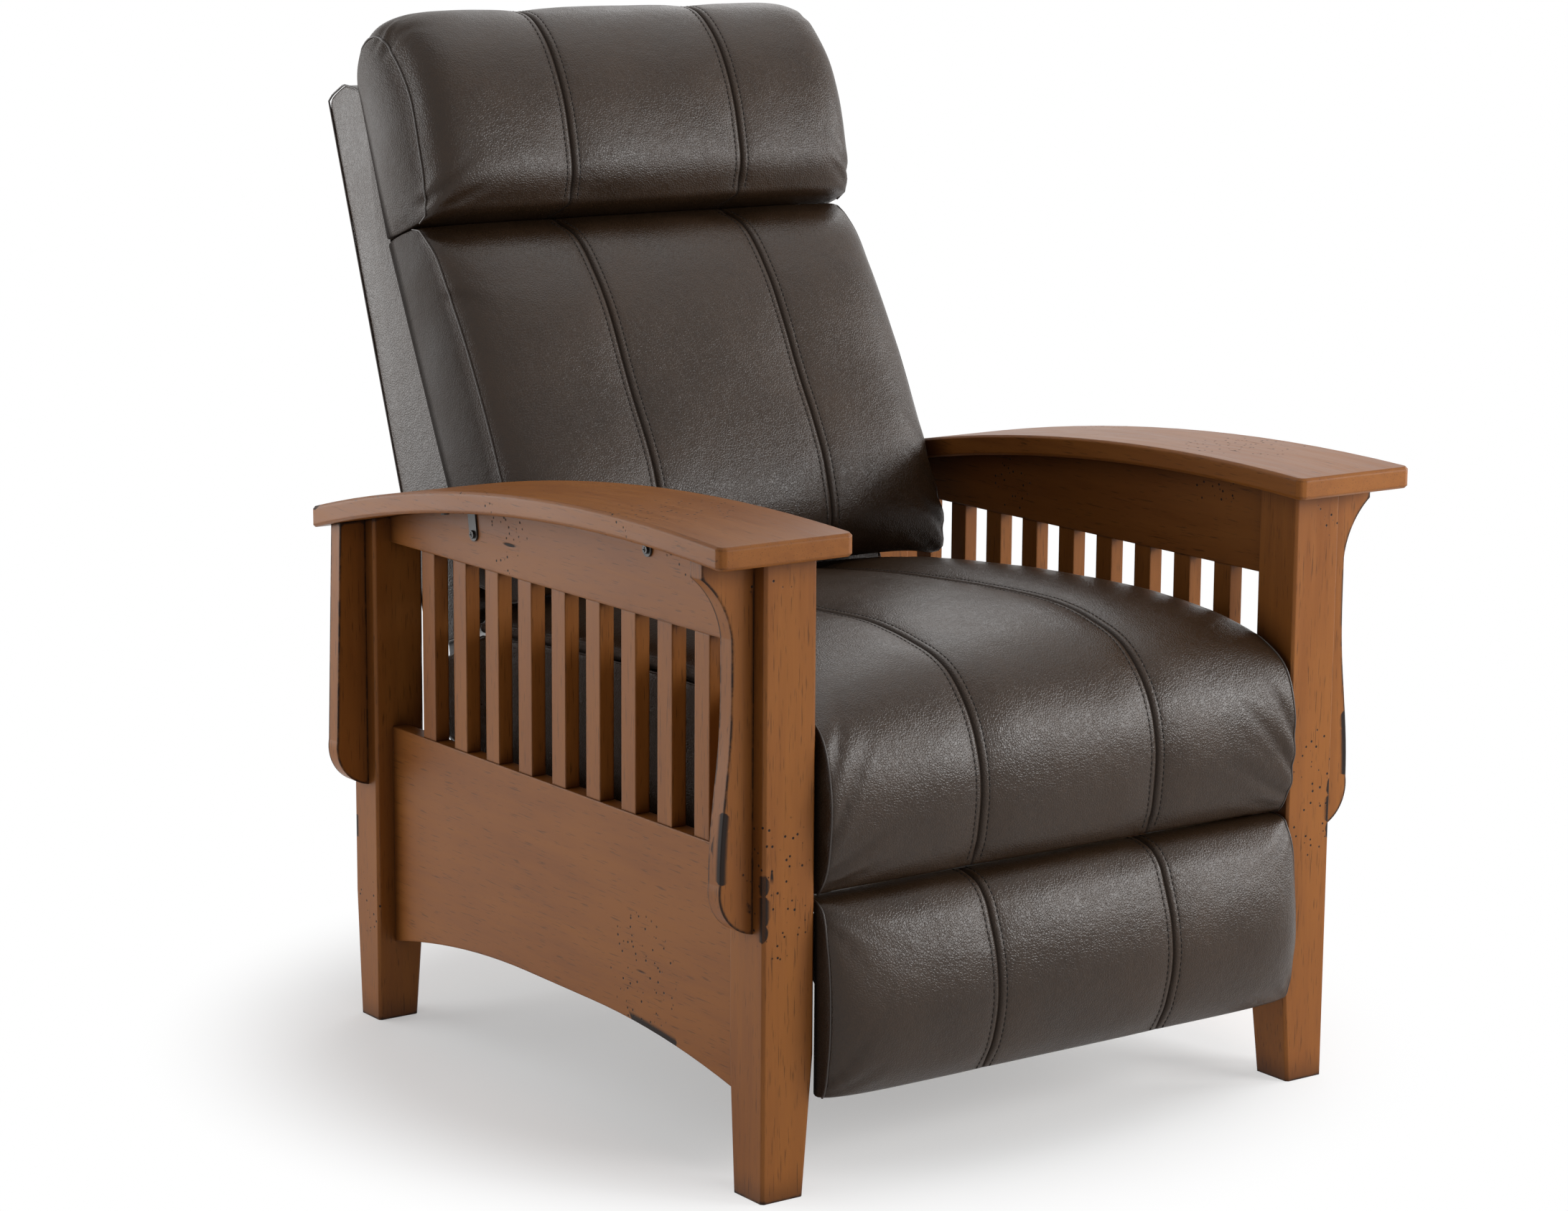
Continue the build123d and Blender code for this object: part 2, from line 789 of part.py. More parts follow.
# Seat plate, which carries the pins of every link and of the back
with BuildPart() as seat_plate_right:
    with BuildSketch(side_plane(plate_x)):
        with BuildLine():
            Polyline(
                (plate_front, plate_top),
                (plate_front, plate_nose_height),
                (plate_waist_depth, plate_waist_height),
                (plate_belly_depth, plate_bottom),
                (plate_heel_depth, plate_bottom),
                (plate_rear, plate_rear_low),
                (plate_rear, plate_rear_high),
                (plate_ear_depth, plate_rear_high),
                (plate_step_depth, plate_top),
                close=True,
            )
        make_face()
        low_corners = vertices().filter_by(lambda v: v.Y < plate_rear_low)
        chamfer(low_corners, length=plate_round)
    extrude(amount=steel)
    pins(swing_top_places, plate_x + steel, swing_x + steel)
    pins([front_pivot, rear_pivot], plate_x, carry_x)
    pins([hinge_place], plate_x, lower_x)
    heads([hinge_place], plate_x, lower_x + steel + face_gap)

with BuildPart() as seat_plate_left:
    mirror(seat_plate_right.part, about=Plane.YZ)

# Wooden seat frame
with BuildPart() as seat_rail_right:
    with BuildSketch(side_plane(seat_rail_inner)):
        with BuildLine():
            Polyline(
                (seat_front_rail, seat_rail_bottom),
                (seat_side_rail_rear, seat_rail_bottom),
                (seat_side_rail_rear, seat_rail_top),
                (seat_front_rail, seat_rail_top),
                close=True,
            )
        make_face()
    extrude(amount=seat_rail_thickness)

with BuildPart() as seat_rail_left:
    mirror(seat_rail_right.part, about=Plane.YZ)

# Front and rear rails of the seat frame
with BuildPart() as seat_cross_rails:
    with BuildSketch(side_plane(-seat_rail_inner)):
        for front in (seat_front_rail, seat_rear_rail):
            with Locations((front, seat_rail_bottom)):
                Rectangle(
                    seat_front_rail_depth,
                    seat_rail_height,
                    align=(Align.MIN, Align.MIN),
                )
    extrude(amount=2 * seat_rail_inner)

# Hexagon heads of the bolts through the side rails into the seat plates
with BuildPart() as seat_bolts:
    with BuildSketch(side_plane(seat_rail_inner)):
        with Locations(*[(depth, seat_bolt_height) for depth in seat_bolt_depths]):
            RegularPolygon(bolt_head, 6)
    extrude(amount=-bolt_head_height)
    mirror(about=Plane.YZ)

# Zigzag seat springs from the front rail to the rear rail
with BuildPart() as seat_springs:
    spring_front = seat_front_rail + seat_front_rail_depth - spring_bearing
    spring_rear = seat_rear_rail + spring_bearing
    turns = int((spring_rear - spring_front) / spring_half_wave)
    spring_step = (spring_rear - spring_front) / turns
    with BuildSketch(floor_plane(seat_rail_top)):
        for number in range(spring_count):
            middle = (number - (spring_count - 1) / 2) * spring_pitch
            corners = []
            for turn in range(turns):
                swing = spring_swing if turn % 2 else -spring_swing
                corners.append((middle + swing, spring_front + turn * spring_step))
                corners.append((middle + swing, spring_front + (turn + 1) * spring_step))
            with BuildLine() as wire:
                Polyline(*corners)
            trace(wire.edges(), line_width=spring_wire)
    extrude(amount=spring_wire)


# Outline of a side cover, drawn in the current sketch
def cover_outline(front, bottom, lift):
    with BuildLine() as outline:
        Polyline(
            (cover_heel_depth, cover_heel_top + lift),
            (cover_rear, cover_rear_top + lift),
            (cover_rear, cover_rear_bottom),
            (cover_foot_depth, bottom),
            (front, bottom),
            (front, cover_front_top + lift),
        )
        ThreePointArc(
            (front, cover_front_top + lift),
            (cover_middle_depth, cover_middle_top + lift),
            (cover_heel_depth, cover_heel_top + lift),
        )
    make_face(outline.edges())


# Leather side covers of the seat box
with BuildPart() as seat_cover_right:
    with BuildSketch(side_plane(cover_inner + face_gap)):
        cover_outline(cover_front, cover_bottom, 0)
    extrude(amount=seat_half - cover_inner - face_gap)

with BuildPart() as seat_cover_left:
    mirror(seat_cover_right.part, about=Plane.YZ)

# Seat cushion with crown, rolled front and two sewn channels
with BuildPart() as seat_cushion:
    for station, fullness in cushion_stations(seat_half):
        with BuildSketch(side_plane(station)):
            with BuildLine():
                soft_arcs(
                    seat_edge_shares,
                    seat_crown_shares,
                    fullness,
                    lambda share: (
                        share[0] * seat_length,
                        seat_bottom + share[1] * seat_height,
                    ),
                )
                first = between(seat_edge_shares[-1][2], seat_crown_shares[-1][2], fullness)
                last = between(seat_edge_shares[0][0], seat_crown_shares[0][0], fullness)
                Polyline(
                    (first[0] * seat_length, seat_bottom),
                    (seat_front_rail - face_gap, seat_bottom),
                    (seat_front_rail - face_gap, cushion_seat_height),
                    (seat_length, cushion_seat_height),
                    (last[0] * seat_length, seat_bottom + last[1] * seat_height),
                )
            make_face()
    loft(ruled=True)
    for side in (cover_inner, -seat_half - overrun):
        with BuildSketch(side_plane(side)):
            cover_outline(cover_front - face_gap, seat_bottom - overrun, face_gap)
        extrude(amount=seat_half - cover_inner + overrun, mode=Mode.SUBTRACT)

# Upholstered outer shell of the back, with the pocket for its frame
with BuildPart() as back_shell:
    with BuildSketch(back_plane(-shell_half)):
        with BuildLine():
            Polyline(
                (0, 0),
                (shell_length, 0),
                (shell_peak, shell_peak_depth),
                (shell_lip, shell_lip_depth),
                (shell_neck, shell_neck_depth),
                (shell_hip, shell_hip_depth),
                (shell_toe, shell_toe_depth),
                (0, shell_hip_depth - shell_heel_round),
                close=True,
            )
        make_face()
    extrude(amount=2 * shell_half)
    with BuildSketch(back_plane(-pocket_half)):
        with BuildLine():
            Polyline(
                (-overrun, pocket_rear),
                (pocket_top, pocket_rear),
                (pocket_top, pocket_rear + pocket_depth),
                (-overrun, pocket_rear + pocket_depth),
                close=True,
            )
        make_face()
    extrude(amount=2 * pocket_half, mode=Mode.SUBTRACT)

# Wooden frame inside the back
with BuildPart() as back_stile_right:
    with BuildSketch(back_plane(stile_outer - stile_width)):
        with BuildLine():
            Polyline(
                (stile_bottom, pocket_rear + face_gap),
                (stile_top, pocket_rear + face_gap),
                (stile_top, pocket_rear + pocket_depth - face_gap),
                (stile_bottom, pocket_rear + pocket_depth - face_gap),
                close=True,
            )
        make_face()
    extrude(amount=stile_width)

with BuildPart() as back_stile_left:
    mirror(back_stile_right.part, about=Plane.YZ)

with BuildPart() as back_cross_rails:
    with BuildSketch(back_plane(-stile_outer + stile_width)):
        for low in (stile_bottom, stile_top - back_rail_height):
            with BuildLine():
                Polyline(
                    (low, pocket_rear + face_gap),
                    (low + back_rail_height, pocket_rear + face_gap),
                    (low + back_rail_height, pocket_rear + pocket_depth - face_gap),
                    (low, pocket_rear + pocket_depth - face_gap),
                    close=True,
                )
            make_face()
    extrude(amount=2 * (stile_outer - stile_width))

# Hinge place seen along the leaning back
hinge_run = Vector(hinge_depth - back_root_depth, hinge_height - back_root_height)
hinge_along = hinge_run.X * sin(radians(recline)) + hinge_run.Y * cos(radians(recline))
hinge_forward = hinge_run.Y * sin(radians(recline)) - hinge_run.X * cos(radians(recline))

# Steel brackets from the hinge up the stiles
with BuildPart() as back_bracket_right:
    with BuildSketch(back_plane(lower_x)):
        plate_middle = pocket_rear + pocket_depth / 2
        with BuildLine():
            Polyline(
                (hinge_along - arm_plate_ear, hinge_forward - arm_plate_ear),
                (hinge_along - arm_plate_ear, hinge_forward + arm_plate_ear),
                (-arm_plate_ear, plate_middle + arm_plate_width / 2),
                (arm_plate_top, plate_middle + arm_plate_width / 2),
                (arm_plate_top, plate_middle - arm_plate_width / 2),
                (-stile_bottom, plate_middle - arm_plate_width / 2),
                (hinge_along + arm_plate_ear, hinge_forward - arm_plate_ear),
                close=True,
            )
        make_face()
        chamfer(vertices(), length=arm_plate_ear / 2)
    extrude(amount=steel)
    holes([hinge_place], pin_radius + running_gap, lower_x, steel)

with BuildPart() as back_bracket_left:
    mirror(back_bracket_right.part, about=Plane.YZ)

# Hexagon heads of the bolts through the brackets into the stiles
with BuildPart() as back_bolts:
    places = [(place, pocket_rear + pocket_depth / 2) for place in back_bolt_places]
    with BuildSketch(back_plane(lower_x + steel)):
        with Locations(*places):
            RegularPolygon(bolt_head, 6)
    extrude(amount=pin_head_height)
    mirror(about=Plane.YZ)


# Front line of the shell that the cushions lie on
def shell_front(along):
    rise = (shell_hip_depth - shell_neck_depth) / (shell_neck - shell_hip)
    if along < shell_hip:
        rise = (shell_toe_depth - shell_hip_depth) / (shell_hip - shell_toe)
    return shell_hip_depth + (shell_hip - along) * rise + face_gap


# Lower back cushion
with BuildPart() as lower_back_cushion:
    for station, fullness in cushion_stations(back_half):
        with BuildSketch(back_plane(station)):
            foot = between(back_edge_shares[0][0], back_crown_shares[0][0], fullness)
            top = between(back_edge_shares[-1][2], back_crown_shares[-1][2], fullness)
            foot_place = (foot[0] * back_cushion_top, shell_front(foot[0] * back_cushion_top))
            with BuildLine():
                Line(foot_place, (foot[0] * back_cushion_top, foot[1] * back_cushion_depth))
                soft_arcs(
                    back_edge_shares,
                    back_crown_shares,
                    fullness,
                    lambda share: (share[0] * back_cushion_top, share[1] * back_cushion_depth),
                )
                Polyline(
                    (top[0] * back_cushion_top, top[1] * back_cushion_depth),
                    (back_cushion_top, shell_front(back_cushion_top)),
                    (shell_hip, shell_front(shell_hip)),
                    foot_place,
                )
            make_face()
    loft(ruled=True)

# Headrest pillow
with BuildPart() as headrest_pillow:
    for station, fullness in cushion_stations(back_half):
        with BuildSketch(back_plane(station)):
            foot = between(pillow_edge_shares[0][0], pillow_crown_shares[0][0], fullness)
            top = between(pillow_edge_shares[-1][2], pillow_crown_shares[-1][2], fullness)
            with BuildLine():
                soft_arcs(
                    pillow_edge_shares,
                    pillow_crown_shares,
                    fullness,
                    lambda share: (
                        pillow_foot + share[0] * pillow_length,
                        share[1] * pillow_depth,
                    ),
                )
                Polyline(
                    (pillow_foot + top[0] * pillow_length, top[1] * pillow_depth),
                    (shell_lip, shell_lip_depth + face_gap),
                    (shell_neck, shell_neck_depth + face_gap),
                    (pillow_foot, shell_front(pillow_foot)),
                    (pillow_foot, foot[1] * pillow_depth),
                )
            make_face()
    loft(ruled=True)

# Footrest board
with BuildPart() as footrest_board:
    with BuildSketch(front_plane(foot_board_rear)):
        with Locations((0, (foot_board_bottom + foot_board_top) / 2)):
            Rectangle(2 * foot_board_half, foot_board_top - foot_board_bottom)
    extrude(amount=foot_board_thickness)

# Footrest pad
with BuildPart() as footrest_pad:
    pad_thickness = pad_crown + foot_board_front
    for station, fullness in cushion_stations(pad_half):
        with BuildSketch(side_plane(station)):
            top = between(pad_edge_shares[0][0], pad_crown_shares[0][0], fullness)
            low = between(pad_edge_shares[-1][2], pad_crown_shares[-1][2], fullness)
            with BuildLine():
                soft_arcs(
                    pad_edge_shares,
                    pad_crown_shares,
                    fullness,
                    lambda share: (
                        foot_board_front - share[0] * pad_thickness,
                        pad_bottom + share[1] * pad_height,
                    ),
                )
                Polyline(
                    (
                        foot_board_front - low[0] * pad_thickness,
                        pad_bottom + low[1] * pad_height,
                    ),
                    (foot_board_front, pad_bottom),
                    (foot_board_front, pad_bottom + pad_height),
                    (
                        foot_board_front - top[0] * pad_thickness,
                        pad_bottom + top[1] * pad_height,
                    ),
                )
            make_face()
    loft(ruled=True)

# Steel brackets behind the footrest board
with BuildPart() as footrest_bracket_right:
    with BuildSketch(side_plane(bracket_x)):
        with BuildLine():
            Polyline(
                (foot_board_rear, bracket_foot),
                (foot_board_rear, upper_foot_pivot[1] + link_width / 2),
                (upper_foot_pivot[0] + link_width / 2, upper_foot_pivot[1] + link_width / 2),
                (lower_foot_pivot[0] + link_width / 2, lower_foot_pivot[1]),
                (bracket_knee_depth, bracket_knee_height),
                close=True,
            )
        make_face()
    extrude(amount=steel)
    with BuildSketch(side_plane(bracket_x - bracket_flange)):
        with BuildLine():
            Polyline(
                (foot_board_rear, bracket_foot),
                (foot_board_rear, upper_foot_pivot[1] + link_width / 2),
                (foot_board_rear + steel, upper_foot_pivot[1] + link_width / 2),
                (foot_board_rear + steel, bracket_foot),
                close=True,
            )
        make_face()
    extrude(amount=bracket_flange)
    holes([upper_foot_pivot, lower_foot_pivot], pin_radius + running_gap, bracket_x, steel)

with BuildPart() as footrest_bracket_left:
    mirror(footrest_bracket_right.part, about=Plane.YZ)

# Front link, with the pins at its middle and lower end
with BuildPart() as front_link_right:
    with BuildSketch(side_plane(carry_x)):
        link_outline(front_pivot, low_pivot, link_width)
    extrude(amount=steel)
    holes([front_pivot], pin_radius + running_gap, carry_x, steel)
    pins([middle_pivot], carry_x, elbow_x)
    pins([low_pivot], carry_x, lower_x)
    heads([low_pivot], carry_x, lower_x + steel + face_gap)

with BuildPart() as front_link_left:
    mirror(front_link_right.part, about=Plane.YZ)

# Rear link, with the pin at its lower end
with BuildPart() as rear_link_right:
    with BuildSketch(side_plane(carry_x)):
        link_outline(rear_pivot, tail_pivot, link_width)
    extrude(amount=steel)
    holes([rear_pivot], pin_radius + running_gap, carry_x, steel)
    pins([tail_pivot], carry_x, elbow_x)

with BuildPart() as rear_link_left:
    mirror(rear_link_right.part, about=Plane.YZ)

# Bent upper link from the rear link to the footrest
with BuildPart() as upper_link_right:
    with BuildSketch(side_plane(elbow_x)):
        link_outline(tail_pivot, middle_pivot, link_width)
        link_outline(middle_pivot, upper_foot_pivot, link_width)
    extrude(amount=steel)
    holes([middle_pivot, tail_pivot], pin_radius + running_gap, elbow_x, steel)
    pins([upper_foot_pivot], elbow_x, bracket_x)
    heads([upper_foot_pivot], elbow_x, bracket_x + steel + face_gap)

with BuildPart() as upper_link_left:
    mirror(upper_link_right.part, about=Plane.YZ)

# Lower link to the footrest
with BuildPart() as lower_link_right:
    with BuildSketch(side_plane(lower_x)):
        link_outline(low_pivot, lower_foot_pivot, link_width)
    extrude(amount=steel)
    holes([low_pivot], pin_radius + running_gap, lower_x, steel)
    pins([lower_foot_pivot], lower_x, bracket_x)

with BuildPart() as lower_link_left:
    mirror(lower_link_right.part, about=Plane.YZ)

# Cross-head screws of the steel tabs
with BuildPart() as tab_screws:
    for plane in tab_planes:
        for turn, place in (
            (Rot(0, 90, 0), (0, -tab_screw_drop)),
            (Rot(90, 0, 0), (tab_screw_reach, 0)),
        ):
            face = Plane(plane * turn).offset(tab_thickness)
            with BuildSketch(face):
                with Locations(place):
                    RegularPolygon(tab_screw_head, 8)
            extrude(amount=tab_screw_head_height)
            with BuildSketch(face.offset(tab_screw_head_height)):
                with Locations(place):
                    Rectangle(tab_slot_length, tab_slot_width)
                    Rectangle(tab_slot_width, tab_slot_length)
            extrude(amount=-tab_slot_depth, mode=Mode.SUBTRACT)
    mirror(about=Plane.YZ)

pieces = {
    "front_post_left": front_post_left,
    "front_post_right": front_post_right,
    "rear_post_left": rear_post_left,
    "rear_post_right": rear_post_right,
    "arm_left": arm_left,
    "arm_right": arm_right,
    "upper_rail_left": upper_rail_left,
    "upper_rail_right": upper_rail_right,
    "lower_panel_left": lower_panel_left,
    "lower_panel_right": lower_panel_right,
    "slats_left": slats_left,
    "slats_right": slats_right,
    "front_corbel_left": front_corbel_left,
    "front_corbel_right": front_corbel_right,
    "rear_corbel_left": rear_corbel_left,
    "rear_corbel_right": rear_corbel_right,
    "arm_tabs": arm_tabs,
    "tab_screws": tab_screws,
    "cleat_left": cleat_left,
    "cleat_right": cleat_right,
    "base_rail_left": base_rail_left,
    "base_rail_right": base_rail_right,
    "base_bolts": base_bolts,
    "cross_tube": cross_tube,
    "rear_stretcher": rear_stretcher,
    "swing_link_front_left": swing_link_front_left,
    "swing_link_front_right": swing_link_front_right,
    "swing_link_rear_left": swing_link_rear_left,
    "swing_link_rear_right": swing_link_rear_right,
    "seat_plate_left": seat_plate_left,
    "seat_plate_right": seat_plate_right,
    "seat_rail_left": seat_rail_left,
    "seat_rail_right": seat_rail_right,
    "seat_cross_rails": seat_cross_rails,
    "seat_bolts": seat_bolts,
    "seat_springs": seat_springs,
    "seat_cover_left": seat_cover_left,
    "seat_cover_right": seat_cover_right,
    "seat_cushion": seat_cushion,
    "back_shell": back_shell,
    "back_stile_left": back_stile_left,
    "back_stile_right": back_stile_right,
    "back_cross_rails": back_cross_rails,
    "back_bracket_left": back_bracket_left,
    "back_bracket_right": back_bracket_right,
    "back_bolts": back_bolts,
    "lower_back_cushion": lower_back_cushion,
    "headrest_pillow": headrest_pillow,
    "footrest_board": footrest_board,
    "footrest_pad": footrest_pad,
    "footrest_bracket_left": footrest_bracket_left,
    "footrest_bracket_right": footrest_bracket_right,
    "front_link_left": front_link_left,
    "front_link_right": front_link_right,
    "rear_link_left": rear_link_left,
    "rear_link_right": rear_link_right,
    "upper_link_left": upper_link_left,
    "upper_link_right": upper_link_right,
    "lower_link_left": lower_link_left,
    "lower_link_right": lower_link_right,
}

for name, piece in pieces.items():
    piece.part.label = name
    export_step(piece.part, f"parts/{name}.step")
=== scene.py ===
"""Mission reclining armchair: stained oak frame, sewn leather cushions, steel link mechanism."""

from math import cos, inf, pi, radians, sin

import bmesh
import bpy
import numpy as np
from mathutils import Matrix, Vector, noise


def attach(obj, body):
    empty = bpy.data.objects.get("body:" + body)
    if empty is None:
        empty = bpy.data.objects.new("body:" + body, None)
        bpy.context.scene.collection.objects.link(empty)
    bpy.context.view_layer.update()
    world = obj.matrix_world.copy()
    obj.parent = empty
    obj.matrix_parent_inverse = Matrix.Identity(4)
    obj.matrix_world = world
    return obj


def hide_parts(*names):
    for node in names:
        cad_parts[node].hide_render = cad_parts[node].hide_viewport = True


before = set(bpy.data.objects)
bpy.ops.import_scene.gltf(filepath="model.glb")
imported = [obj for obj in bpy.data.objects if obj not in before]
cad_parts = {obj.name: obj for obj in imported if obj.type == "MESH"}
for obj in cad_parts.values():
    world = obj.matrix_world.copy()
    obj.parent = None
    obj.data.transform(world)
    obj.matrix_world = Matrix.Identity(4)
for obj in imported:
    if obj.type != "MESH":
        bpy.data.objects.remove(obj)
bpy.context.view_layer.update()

bl_info = {
    "name": "Mission reclining armchair",
    "version": (1, 0, 0),
    "blender": (4, 5, 0),
    "location": "3D View > Sidebar > Recliner",
    "description": "Builds the leather, thread, timber finish and studio of a mission recliner",
    "category": "Object",
}

MM = 0.001

# The depths of the drawing run rearwards from the front posts, and this one is the origin's.
MIDDLE_DEPTH = 446.89
# Depth and height at which the rear face of the back starts, and how far the back leans
BACK_FOOT = (737.0, 387.0)
BACK_LEAN = radians(19.65)


def linear(code):
    """The linear red, green, blue and alpha of an sRGB hex value."""
    parts = [int(code[i : i + 2], 16) / 255 for i in (1, 3, 5)]
    return [p / 12.92 if p <= 0.04045 else ((p + 0.055) / 1.055) ** 2.4 for p in parts] + [1.0]


def at(depth, height, x):
    """A place on the chair from its depth, height and width in millimetres."""
    return Vector((x, depth - MIDDLE_DEPTH, height)) * MM


def on_back(along, forward, x):
    """A place on the leaning back, from the way up its rear face and the way forwards."""
    depth = BACK_FOOT[0] + along * sin(BACK_LEAN) - forward * cos(BACK_LEAN)
    height = BACK_FOOT[1] + along * cos(BACK_LEAN) + forward * sin(BACK_LEAN)
    return at(depth, height, x)


# Settings that a user would change


def colour_setting(name, description, code):
    """A colour, with an sRGB hex value as its default."""
    return bpy.props.FloatVectorProperty(
        name=name, description=description, size=4, subtype="COLOR", min=0, max=1, default=linear(code))


def length_setting(name, description, default, least):
    """A length in metres."""
    return bpy.props.FloatProperty(
        name=name, description=description, subtype="DISTANCE", default=default, min=least)


def number_setting(name, description, default, most, least=0, **kind):
    """A plain number."""
    return bpy.props.FloatProperty(
        name=name, description=description, default=default, min=least, max=most, **kind)


class LeatherSettings(bpy.types.PropertyGroup):
    hide_colour: colour_setting("Hide", "Colour of the hide on its high places", "#362618")
    # painted shade: the colour that seam grooves, stitch rows, folds and side panels are darkened towards
    painted_shade_colour: colour_setting("Fold", "Colour of the hide in seams and folds", "#120c08")
    pebble: length_setting("Pebble", "Width of one pebble of the grain", 2.8 * MM, 0.2 * MM)
    gloss: number_setting("Roughness", "Roughness of the satin top coat", 0.33, 1)


class OakSettings(bpy.types.PropertyGroup):
    light_colour: colour_setting("Light wood", "Stained wood between the pores", "#8b5523")
    dark_colour: colour_setting("Dark wood", "Stained wood in the darker growth", "#7b481e")
    glaze_colour: colour_setting("Glaze", "Dark glaze in pores and rubbed edges", "#160a04")
    pore: length_setting("Pore", "Width of a pore across the grain", 0.9 * MM, 0.1 * MM)


class SewingSettings(bpy.types.PropertyGroup):
    pitch: length_setting("Stitch pitch", "Length from one stitch to the next", 6.0 * MM, 1 * MM)
    thread: length_setting("Thread", "Thickness of the sewing thread", 1.3 * MM, 0.1 * MM)
    row_gap: number_setting(
        "Row gap", "Distance of a stitch row from its seam, in millimetres", 8.0, 20, least=2)
    groove: number_setting("Groove", "Depth of a seam's groove, in millimetres", 3.4, 8)
    welt: length_setting("Welt", "Radius of the welt round a side panel", 1.1 * MM, 0.2 * MM)


class FillingSettings(bpy.types.PropertyGroup):
    pressure: number_setting(
        "Pressure", "Pressure of the filling on its cover while it swells", 3.5, 20)
    slack: number_setting(
        "Slack", "Share by which a cover is cut larger than its filling", 0.0, 0.2, subtype="FACTOR")
    most_swell: number_setting(
        "Most swell", "Most that a point of a cover may move, in millimetres", 9.0, 30)


SETTINGS = {
    "recliner_leather": LeatherSettings,
    "recliner_oak": OakSettings,
    "recliner_sewing": SewingSettings,
    "recliner_filling": FillingSettings,
}


# Nodes and finishes


def put(tree, kind, inputs=None, **settings):
    """Adds a node with its settings; an input is a value, another node's output, or a node,
    whose first output it then takes."""
    node = tree.nodes.new(kind)
    for key, value in settings.items():
        setattr(node, key, value)
    for key, value in (inputs or {}).items():
        if isinstance(value, bpy.types.Node):
            value = value.outputs[0]
        if isinstance(value, bpy.types.NodeSocket):
            tree.links.new(value, node.inputs[key])
        else:
            node.inputs[key].default_value = value
    return node


def material(name, build, *choices):
    """The material of that name; the first time, build lays its nodes and gives its surface."""
    finish = bpy.data.materials.get(name)
    if finish is None:
        finish = bpy.data.materials.new(name)
        finish.use_nodes = True
        tree = finish.node_tree
        tree.nodes.clear()
        place = put(tree, "ShaderNodeTexCoord").outputs["Object"]
        surface = build(tree, place, *choices)
        put(tree, "ShaderNodeOutputMaterial", {"Surface": surface})
    return finish


def leather(tree, place):
    """Corrected-grain cow hide, dyed espresso with a satin top coat: soft grey highlights over near-black
    brown, a fine pebble and faint mottling, with painted shade in seams, stitch rows, folds and side
    panels."""
    looks = bpy.context.scene.recliner_leather
    # clouds of dye about 90 mm across, and mottling of about 6 mm
    dye_cloud = put(tree, "ShaderNodeTexNoise", {
        "Vector": place, "Scale": 1 / 0.09, "Detail": 4.0, "Roughness": 0.6})
    mottle = put(tree, "ShaderNodeTexNoise", {
        "Vector": place, "Scale": 1 / 0.006, "Detail": 3.0, "Roughness": 0.7})
    # the seam attribute is painted shade, which sew lays along seam grooves, stitch rows, folds and side
    # panels
    seam = put(tree, "ShaderNodeAttribute", attribute_name="seam").outputs["Fac"]
    deep = put(tree, "ShaderNodeMix", {
        "Factor": dye_cloud, "A": linear("#261a10"), "B": list(looks.hide_colour)},
        data_type="RGBA").outputs["Result"]
    speckle = put(tree, "ShaderNodeMapRange", {
        "Value": mottle, "From Min": 0.3, "From Max": 0.7, "To Min": 0.86, "To Max": 1.1})
    toned = put(tree, "ShaderNodeVectorMath", {0: deep, "Scale": speckle}, operation="SCALE")
    # painted shade: the shade colour is mixed into the hide wherever the seam attribute is high
    hide_with_painted_shade = put(tree, "ShaderNodeMix", {
        "Factor": seam, "A": toned, "B": list(looks.painted_shade_colour)},
        data_type="RGBA").outputs["Result"]
    # pebble grain: rounded cells with fine valleys between them, bent by a noise of about 4 mm
    bend = put(tree, "ShaderNodeTexNoise", {"Vector": place, "Scale": 1 / 0.004, "Detail": 2.0})
    drift = put(tree, "ShaderNodeVectorMath", {
        0: bend.outputs["Color"], "Scale": 0.0012}, operation="SCALE")
    warped = put(tree, "ShaderNodeVectorMath", {0: place, 1: drift}, operation="ADD")
    pebble = put(tree, "ShaderNodeTexVoronoi", {
        "Vector": warped, "Scale": 1 / looks.pebble}, feature="DISTANCE_TO_EDGE")
    pebble = put(tree, "ShaderNodeMapRange", {
        "Value": pebble, "From Min": 0.0, "From Max": 0.28}, interpolation_type="SMOOTHSTEP")
    # ripples about 11 mm wide
    ripple = put(tree, "ShaderNodeTexNoise", {"Vector": place, "Scale": 1 / 0.011, "Detail": 3.0})
    height = put(tree, "ShaderNodeMath", {0: pebble, 1: 0.45}, operation="MULTIPLY")
    height = put(tree, "ShaderNodeMath", {0: ripple, 1: 1.6, 2: height}, operation="MULTIPLY_ADD")
    relief = put(tree, "ShaderNodeBump", {"Strength": 0.9, "Distance": 0.00035, "Height": height})
    sheen = put(tree, "ShaderNodeMapRange", {
        "Value": dye_cloud, "From Min": 0.3, "From Max": 0.7,
        "To Min": looks.gloss - 0.05, "To Max": looks.gloss + 0.05})
    rough = put(tree, "ShaderNodeMath", {0: speckle, 1: 0.12, 2: sheen}, operation="MULTIPLY_ADD")
    rough = put(tree, "ShaderNodeMath", {0: seam, 1: 0.5, 2: rough}, operation="MULTIPLY_ADD")
    rough = put(tree, "ShaderNodeMath", {0: rough, 1: 0.12}, operation="SUBTRACT", use_clamp=True)
    # seams, folds and side panels never take the polish of the worn top
    polish = put(tree, "ShaderNodeMapRange", {"Value": seam, "To Min": 0.31, "To Max": 0.06})
    return put(tree, "ShaderNodeBsdfPrincipled", {
        "Base Color": hide_with_painted_shade, "Roughness": rough, "Normal": relief, "Specular IOR Level": polish})


